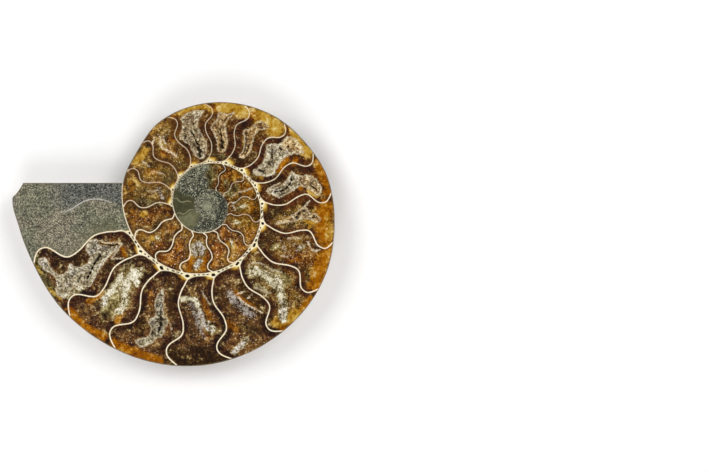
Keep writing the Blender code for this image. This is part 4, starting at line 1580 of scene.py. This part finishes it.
def cut_material():
    """Polished cut: calcite, cream walls and set mud."""
    graph = Graph("polished_cut")
    spot = graph.millimetres()
    colour, mottle, grain = calcite_colour(graph, spot)
    old = graph.mark("old")
    corner = graph.sum(0.0, (graph.mark("corner"), 0.0, 1.0), (mottle, 0.5, 0.5))
    corner_tint = graph.tints(
        corner, (0.12, 104, 68, 26), (0.34, 156, 114, 46), (0.56, 202, 173, 92),
        (0.80, 240, 228, 172))
    colour = graph.mix(graph.window(corner, 0.08, 0.45), colour, corner_tint)
    young_fill = graph.tints(mottle, (0.3, 224, 206, 154), (0.7, 250, 244, 218))
    old_fill = graph.tints(mottle, (0.3, 130, 94, 58), (0.7, 180, 142, 96))
    lining_fill = graph.mix(graph.times(old, 0.5), young_fill, old_fill)
    colour = graph.mix(graph.mark("double"), colour, lining_fill)
    mud = graph.mark("mud")
    colour = graph.mix(mud, colour, mud_colour(graph, spot))
    crumb = graph.noise(spot, 2.1, 3.0, 0.75)
    rough = graph.math("SUBTRACT", 1.0, mud)
    broken = graph.times(graph.mark("vein_strength"),
                        graph.math("MAXIMUM", mud, graph.window(crumb, 0.40, 0.50, 0.15, 1.0)))
    ragged = graph.sum(0.0, (graph.mark("vein"), 0.0, 1.0),
                       (graph.times(rough, graph.math("SUBTRACT", mottle, 0.5)), 0.0, 1.1))
    vein = graph.times(graph.window(ragged, 0.22, -0.04), broken)
    mud_tint = graph.mix(graph.mark("speckled_mud"), opaque(192, 192, 190), opaque(136, 132, 102))
    vein_tint = graph.mix(mud, opaque(222, 204, 172), mud_tint)
    colour = graph.mix(vein, colour, vein_tint)
    near_rim = graph.sum(0.0, (graph.mark("rim"), 0.0, 1.0), (mottle, 0.5, 2.0))
    rim_tint = graph.tints(grain, (0.35, 140, 116, 80), (0.65, 220, 208, 178))
    colour = graph.mix(graph.window(near_rim, 0.34, 0.06, 0.0, 0.85), colour, rim_tint)
    drawn = graph.times(graph.window(graph.mark("line"), 0.08, -0.08), graph.mark("line_strength"))
    young = graph.tints(mottle, (0.3, 218, 200, 162), (0.6, 244, 232, 206))
    faded = graph.tints(mottle, (0.3, 156, 122, 92), (0.6, 200, 168, 138))
    colour = graph.mix(drawn, colour, graph.mix(old, young, faded))
    edge = graph.sum(0.0, (graph.mark("edge"), 0.0, 1.0), (mottle, 0.5, 0.8))
    colour = graph.mix(graph.window(edge, 0.36, 0.12, 0.0, 0.8), colour, opaque(104, 98, 78))
    colour = graph.richer(colour, 1.045)
    roughness = graph.math("ADD", graph.times(mud, 0.20),
                           graph.window(grain, 0.2, 0.8, 0.16, 0.26))
    normal = graph.bump(graph.times(grain, graph.math("ADD", 0.25, mud)), 0.00003, 0.5)
    return graph.finish(colour, roughness, normal, Specular_IOR_Level=0.22)


def side_material():
    """Ribbed shell of the outer side, with painted shade in the furrows."""
    graph = Graph("ribbed_shell")
    spot = graph.millimetres()
    growth = graph.mark("growth")
    share = graph.mark("share")
    twist = graph.noise(spot, 0.25, 3.0, 0.6)
    stripe_spot = graph.vector(graph.sum(0.0, (growth, 0.0, 70.0), (twist, 0.5, 1.6)),
                               graph.times(share, 1.6))
    growth_lines = graph.noise(stripe_spot, 1.0, 2.0, 0.5)
    blotch = graph.noise(spot, 0.07, 5.0, 0.62, 0.6)
    patch = graph.noise(spot, 0.16, 4.0, 0.65, 0.8)
    grain = graph.noise(spot, 1.4, 5.0, 0.7)
    # Painted shade: the shell is painted darker in the furrows between the ribs.
    value = graph.sum(0.50, (blotch, 0.5, 1.2), (growth_lines, 0.5, 0.35), (grain, 0.5, 0.9),
                      (graph.mark("groove"), 0.5, -0.30))
    colour = graph.tints(
        value, (0.05, 58, 40, 28), (0.30, 98, 70, 46), (0.52, 136, 104, 72), (0.74, 168, 138, 102),
        (0.95, 206, 184, 150))
    pearl = graph.tints(value, (0.10, 104, 92, 78), (0.50, 170, 156, 134), (0.90, 222, 212, 192))
    colour = graph.mix(graph.window(patch, 0.54, 0.62, 0.0, 0.75), colour, pearl)
    bare = graph.tints(value, (0.10, 44, 40, 32), (0.50, 88, 82, 66), (0.90, 132, 124, 100))
    colour = graph.mix(graph.window(patch, 0.44, 0.37, 0.0, 0.8), colour, bare)
    height = graph.math("ADD", growth_lines, graph.times(grain, 0.6))
    normal = graph.bump(height, 0.00012, 0.5)
    rough = graph.window(grain, 0.2, 0.8, 0.34, 0.56)
    return graph.finish(colour, rough, normal, Coat_Weight=0.12, Coat_Roughness=0.3)


def sawn_material():
    """Sawn mouth: set mud inside a thin cream shell."""
    graph = Graph("sawn_mud")
    spot = graph.millimetres()
    colour = mud_colour(graph, spot)
    grain = graph.noise(spot, 3.0, 4.0, 0.7)
    drawn = graph.window(graph.mark("line"), 0.25, 0.0)
    colour = graph.mix(drawn, colour, opaque(176, 158, 124))
    normal = graph.bump(grain, 0.0001, 0.5)
    return graph.finish(colour, graph.window(grain, 0.2, 0.8, 0.45, 0.65), normal)


def pore_material():
    """Dark inside of the pores."""
    graph = Graph("pore_shade")
    grain = graph.noise(graph.millimetres(), 3.0, 3.0, 0.6)
    colour = graph.tints(grain, (0.3, 14, 10, 7), (0.7, 40, 28, 18))
    return graph.finish(colour, graph.window(grain, 0.2, 0.8, 0.6, 0.8), Specular_IOR_Level=0.08)


def pocket_material():
    """Stone behind the crystal crusts."""
    graph = Graph("pocket_stone")
    grain = graph.noise(graph.millimetres(), 2.0, 4.0, 0.6)
    colour = graph.ramp(grain, ((0.3, (0.05, 0.022, 0.010)), (0.7, (0.22, 0.12, 0.05))))
    return graph.finish(colour, graph.window(grain, 0.2, 0.8, 0.4, 0.6))


def crystal_material():
    """Sugary grey and tan calcite crystals, with painted shade deep down and in the slits."""
    graph = Graph("druse_crystals")
    spot = graph.millimetres()
    grain = graph.noise(spot, 2.2, 3.0, 0.7)
    drift = graph.noise(spot, 0.35, 3.0, 0.6)
    # Painted shade: the deeper a crystal lies below the cut, the darker it is painted.
    value = graph.sum(0.68, (graph.mark("tone"), 0.5, 0.80), (grain, 0.5, 1.5), (drift, 0.5, 0.6),
                      (graph.mark("depth_shade"), 0.5, -0.16), (graph.mark("dull"), 0.0, -0.35))
    warm = graph.tints(
        value, (0.02, 46, 35, 22), (0.22, 96, 82, 56), (0.45, 146, 131, 100), (0.70, 188, 177, 146),
        (0.95, 232, 226, 206))
    cool = graph.tints(
        value, (0.02, 42, 35, 28), (0.22, 86, 78, 64), (0.45, 134, 124, 106), (0.70, 178, 169, 150),
        (0.95, 232, 227, 214))
    cloud = graph.noise(spot, 0.28, 2.0, 0.6)
    colour = graph.mix(graph.window(cloud, 0.46, 0.60, 0.0, 0.8), warm, cool)
    rusty = graph.tints(
        value, (0.02, 40, 24, 12), (0.22, 100, 67, 32), (0.45, 155, 120, 69), (0.70, 199, 166, 108),
        (0.95, 240, 226, 184))
    stained = graph.sum(0.0, (graph.mark("rusty"), 0.0, 1.0), (drift, 0.5, 0.8))
    colour = graph.mix(graph.window(stained, 0.0, 1.0, 0.0, 1.0), colour, rusty)
    lip = graph.sum(0.0, (graph.mark("away"), 0.0, 1.0), (grain, 0.5, 1.8))
    colour = graph.mix(graph.window(lip, 0.30, 0.0, 0.0, 0.35), colour, opaque(198, 172, 128))
    # Painted shade: the slits, where the crust dips deeper, are darkened almost to black.
    slit = graph.sum(0.0, (graph.mark("slit"), 0.0, 1.0), (grain, 0.5, 2.0))
    colour = graph.mix(graph.window(slit, 0.40, 0.90, 0.0, 0.88), colour, opaque(42, 30, 22))
    rough = graph.window(grain, 0.2, 0.8, 0.18, 0.42)
    return graph.finish(colour, rough, None)


# ---------------------------------------------------------------- the stage

# Each light's name, direction and height in degrees, and share of the main light's power.
SOFTBOXES = (("left_softbox", 150.0, 57.0, 1.0), ("right_softbox", 30.0, 57.0, 0.9),
             ("front_softbox", 270.0, 53.0, 0.8))
LENS_LENGTH = 100.0
SENSOR_WIDTH = 36.0


def build_stage(settings):
    """Pale floor, soft lights and the camera that looks straight down on the cut."""
    bpy.ops.mesh.primitive_plane_add(size=settings.floor_size)
    floor = bpy.context.object
    floor.name = "studio_floor"
    graph = Graph("pale_floor")
    grain = graph.noise(graph.millimetres(), 0.02, 2.0)
    tint = graph.ramp(grain, ((0.3, (0.94, 0.94, 0.94)), (0.7, (0.95, 0.95, 0.95))))
    floor.data.materials.append(graph.finish(tint, 0.7))

    world = bpy.data.worlds.new("soft_studio")
    bpy.context.scene.world = world
    world.use_nodes = True
    tree = world.node_tree
    sky = tree.nodes["Background"]
    spot = tree.nodes.new("ShaderNodeTexCoord")
    part = tree.nodes.new("ShaderNodeSeparateXYZ")
    fade = tree.nodes.new("ShaderNodeMapRange")
    tree.links.new(spot.outputs["Generated"], part.inputs[0])
    tree.links.new(part.outputs["Z"], fade.inputs[0])
    fade.inputs[3].default_value = settings.horizon_light
    fade.inputs[4].default_value = settings.zenith_light
    tree.links.new(fade.outputs[0], sky.inputs["Strength"])
    sky.inputs["Color"].default_value = (1.0, 1.0, 1.0, 1.0)

    aim = Vector((0.0, 0.0, CUT_HEIGHT))
    for name, turn, climb, power in SOFTBOXES:
        lamp = bpy.data.lights.new(name, "AREA")
        lamp.shape = "SQUARE"
        lamp.size = settings.softbox_size
        lamp.energy = settings.softbox_power * power
        light = bpy.data.objects.new(name, lamp)
        bpy.context.scene.collection.objects.link(light)
        turn, climb = math.radians(turn), math.radians(climb)
        way = Vector((math.cos(turn) * math.cos(climb), math.sin(turn) * math.cos(climb),
                      math.sin(climb)))
        light.location = aim + way * settings.softbox_distance
        light.rotation_euler = way.to_track_quat("Z", "Y").to_euler()

    lens = bpy.data.cameras.new("camera")
    lens.lens = LENS_LENGTH
    lens.sensor_width = SENSOR_WIDTH
    camera = bpy.data.objects.new("camera", lens)
    bpy.context.scene.collection.objects.link(camera)
    distance = settings.view_width * lens.lens / lens.sensor_width
    camera.location = (COIL_X + settings.view_right, COIL_Y - settings.view_down,
                       CUT_HEIGHT + distance)
    lens.clip_start = 0.01
    lens.clip_end = 20.0
    bpy.context.scene.camera = camera
    bpy.context.scene.view_settings.view_transform = "Standard"


# ---------------------------------------------------------------- add-on

class AmmoniteStoneSettings(bpy.types.PropertyGroup):
    """Sizes of the stone's markings."""

    wall_width: FloatProperty(
        name="Wall width", description="Width of the cream chamber walls on the cut",
        default=0.42 * MM, min=0.1 * MM, unit="LENGTH")
    face_spacing: FloatProperty(
        name="Face spacing", description="Distance between the vertices of the cut face",
        default=0.38 * MM, min=0.2 * MM, unit="LENGTH")


class AmmoniteCrystalSettings(bpy.types.PropertyGroup):
    """Sizes of the crystals in the hollows."""

    crystal_size: FloatProperty(
        name="Crystal size", description="Mean distance between crystal tips",
        default=0.42 * MM, min=0.2 * MM, unit="LENGTH")
    crust_spacing: FloatProperty(
        name="Crust spacing", description="Distance between the vertices of the crusts",
        default=0.13 * MM, min=0.05 * MM, unit="LENGTH")


class AmmoniteStageSettings(bpy.types.PropertyGroup):
    """Floor, lights and camera."""

    floor_size: FloatProperty(name="Floor size", description="Side of the pale floor",
                              default=1.3, unit="LENGTH")
    horizon_light: FloatProperty(name="Horizon light", description="Sky strength at the horizon",
                                 default=0.90)
    zenith_light: FloatProperty(name="Zenith light", description="Sky strength overhead",
                                default=0.05)
    softbox_size: FloatProperty(name="Softbox size", description="Side of each soft light",
                                default=0.45, unit="LENGTH")
    softbox_distance: FloatProperty(name="Softbox distance", description="Distance of the lights",
                                    default=0.9, unit="LENGTH")
    softbox_power: FloatProperty(name="Softbox power", description="Power of the main light",
                                 default=3.2, unit="POWER")
    view_width: FloatProperty(name="View width", description="Width of the view at the cut",
                              default=230.8 * MM, unit="LENGTH")
    view_right: FloatProperty(name="View right", description="Camera right of the coil's centre",
                              default=48.0 * MM, unit="LENGTH")
    view_down: FloatProperty(name="View down", description="Camera below the coil's centre",
                             default=9.8 * MM, unit="LENGTH")


class AMMONITE_OT_stone(bpy.types.Operator):
    """Build the sawn stone with its markings"""

    bl_idname = "ammonite.stone"
    bl_label = "Ammonite Stone"

    def execute(self, context):
        finishes = [cut_material(), side_material(), sawn_material(), pore_material(),
                    pocket_material()]
        stone = build_stone(context.scene.ammonite_stone, finishes)
        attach(stone, "root")
        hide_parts("ammonite_half")
        return {"FINISHED"}


class AMMONITE_OT_crystals(bpy.types.Operator):
    """Line every hollow with its crust of crystals"""

    bl_idname = "ammonite.crystals"
    bl_label = "Crystal Crusts"

    def execute(self, context):
        finish = crystal_material()
        for values in HOLLOWS:
            hollow = Hollow(*values)
            crust = build_crust(hollow, context.scene.ammonite_crystals, finish)
            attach(crust, "root")
            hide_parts(hollow.node)
        return {"FINISHED"}


class AMMONITE_OT_stage(bpy.types.Operator):
    """Lay the floor and set the lights and the camera"""

    bl_idname = "ammonite.stage"
    bl_label = "Stage"

    def execute(self, context):
        build_stage(context.scene.ammonite_stage)
        return {"FINISHED"}


class AMMONITE_PT_panel(bpy.types.Panel):
    """Sidebar panel of the ammonite half"""

    bl_idname = "AMMONITE_PT_panel"
    bl_label = "Ammonite Half"
    bl_space_type = "VIEW_3D"
    bl_region_type = "UI"
    bl_category = "Ammonite"

    def draw(self, context):
        for group, operator in ((context.scene.ammonite_stone, "ammonite.stone"),
                                (context.scene.ammonite_crystals, "ammonite.crystals"),
                                (context.scene.ammonite_stage, "ammonite.stage")):
            box = self.layout.box()
            for name in group.bl_rna.properties.keys():
                if name not in ("rna_type", "name"):
                    box.prop(group, name)
            box.operator(operator)


CLASSES = (AmmoniteStoneSettings, AmmoniteCrystalSettings, AmmoniteStageSettings,
           AMMONITE_OT_stone, AMMONITE_OT_crystals, AMMONITE_OT_stage, AMMONITE_PT_panel)


def register():
    """Registers the classes and their settings."""
    for kind in CLASSES:
        bpy.utils.register_class(kind)
    bpy.types.Scene.ammonite_stone = PointerProperty(type=AmmoniteStoneSettings)
    bpy.types.Scene.ammonite_crystals = PointerProperty(type=AmmoniteCrystalSettings)
    bpy.types.Scene.ammonite_stage = PointerProperty(type=AmmoniteStageSettings)


def unregister():
    """Takes the settings and classes away again."""
    del bpy.types.Scene.ammonite_stage
    del bpy.types.Scene.ammonite_crystals
    del bpy.types.Scene.ammonite_stone
    for kind in reversed(CLASSES):
        bpy.utils.unregister_class(kind)


def main():
    """Dresses the half and sets the stage."""
    register()
    bpy.ops.ammonite.stone()
    bpy.ops.ammonite.crystals()
    bpy.ops.ammonite.stage()


if __name__ == "__main__":
    main()
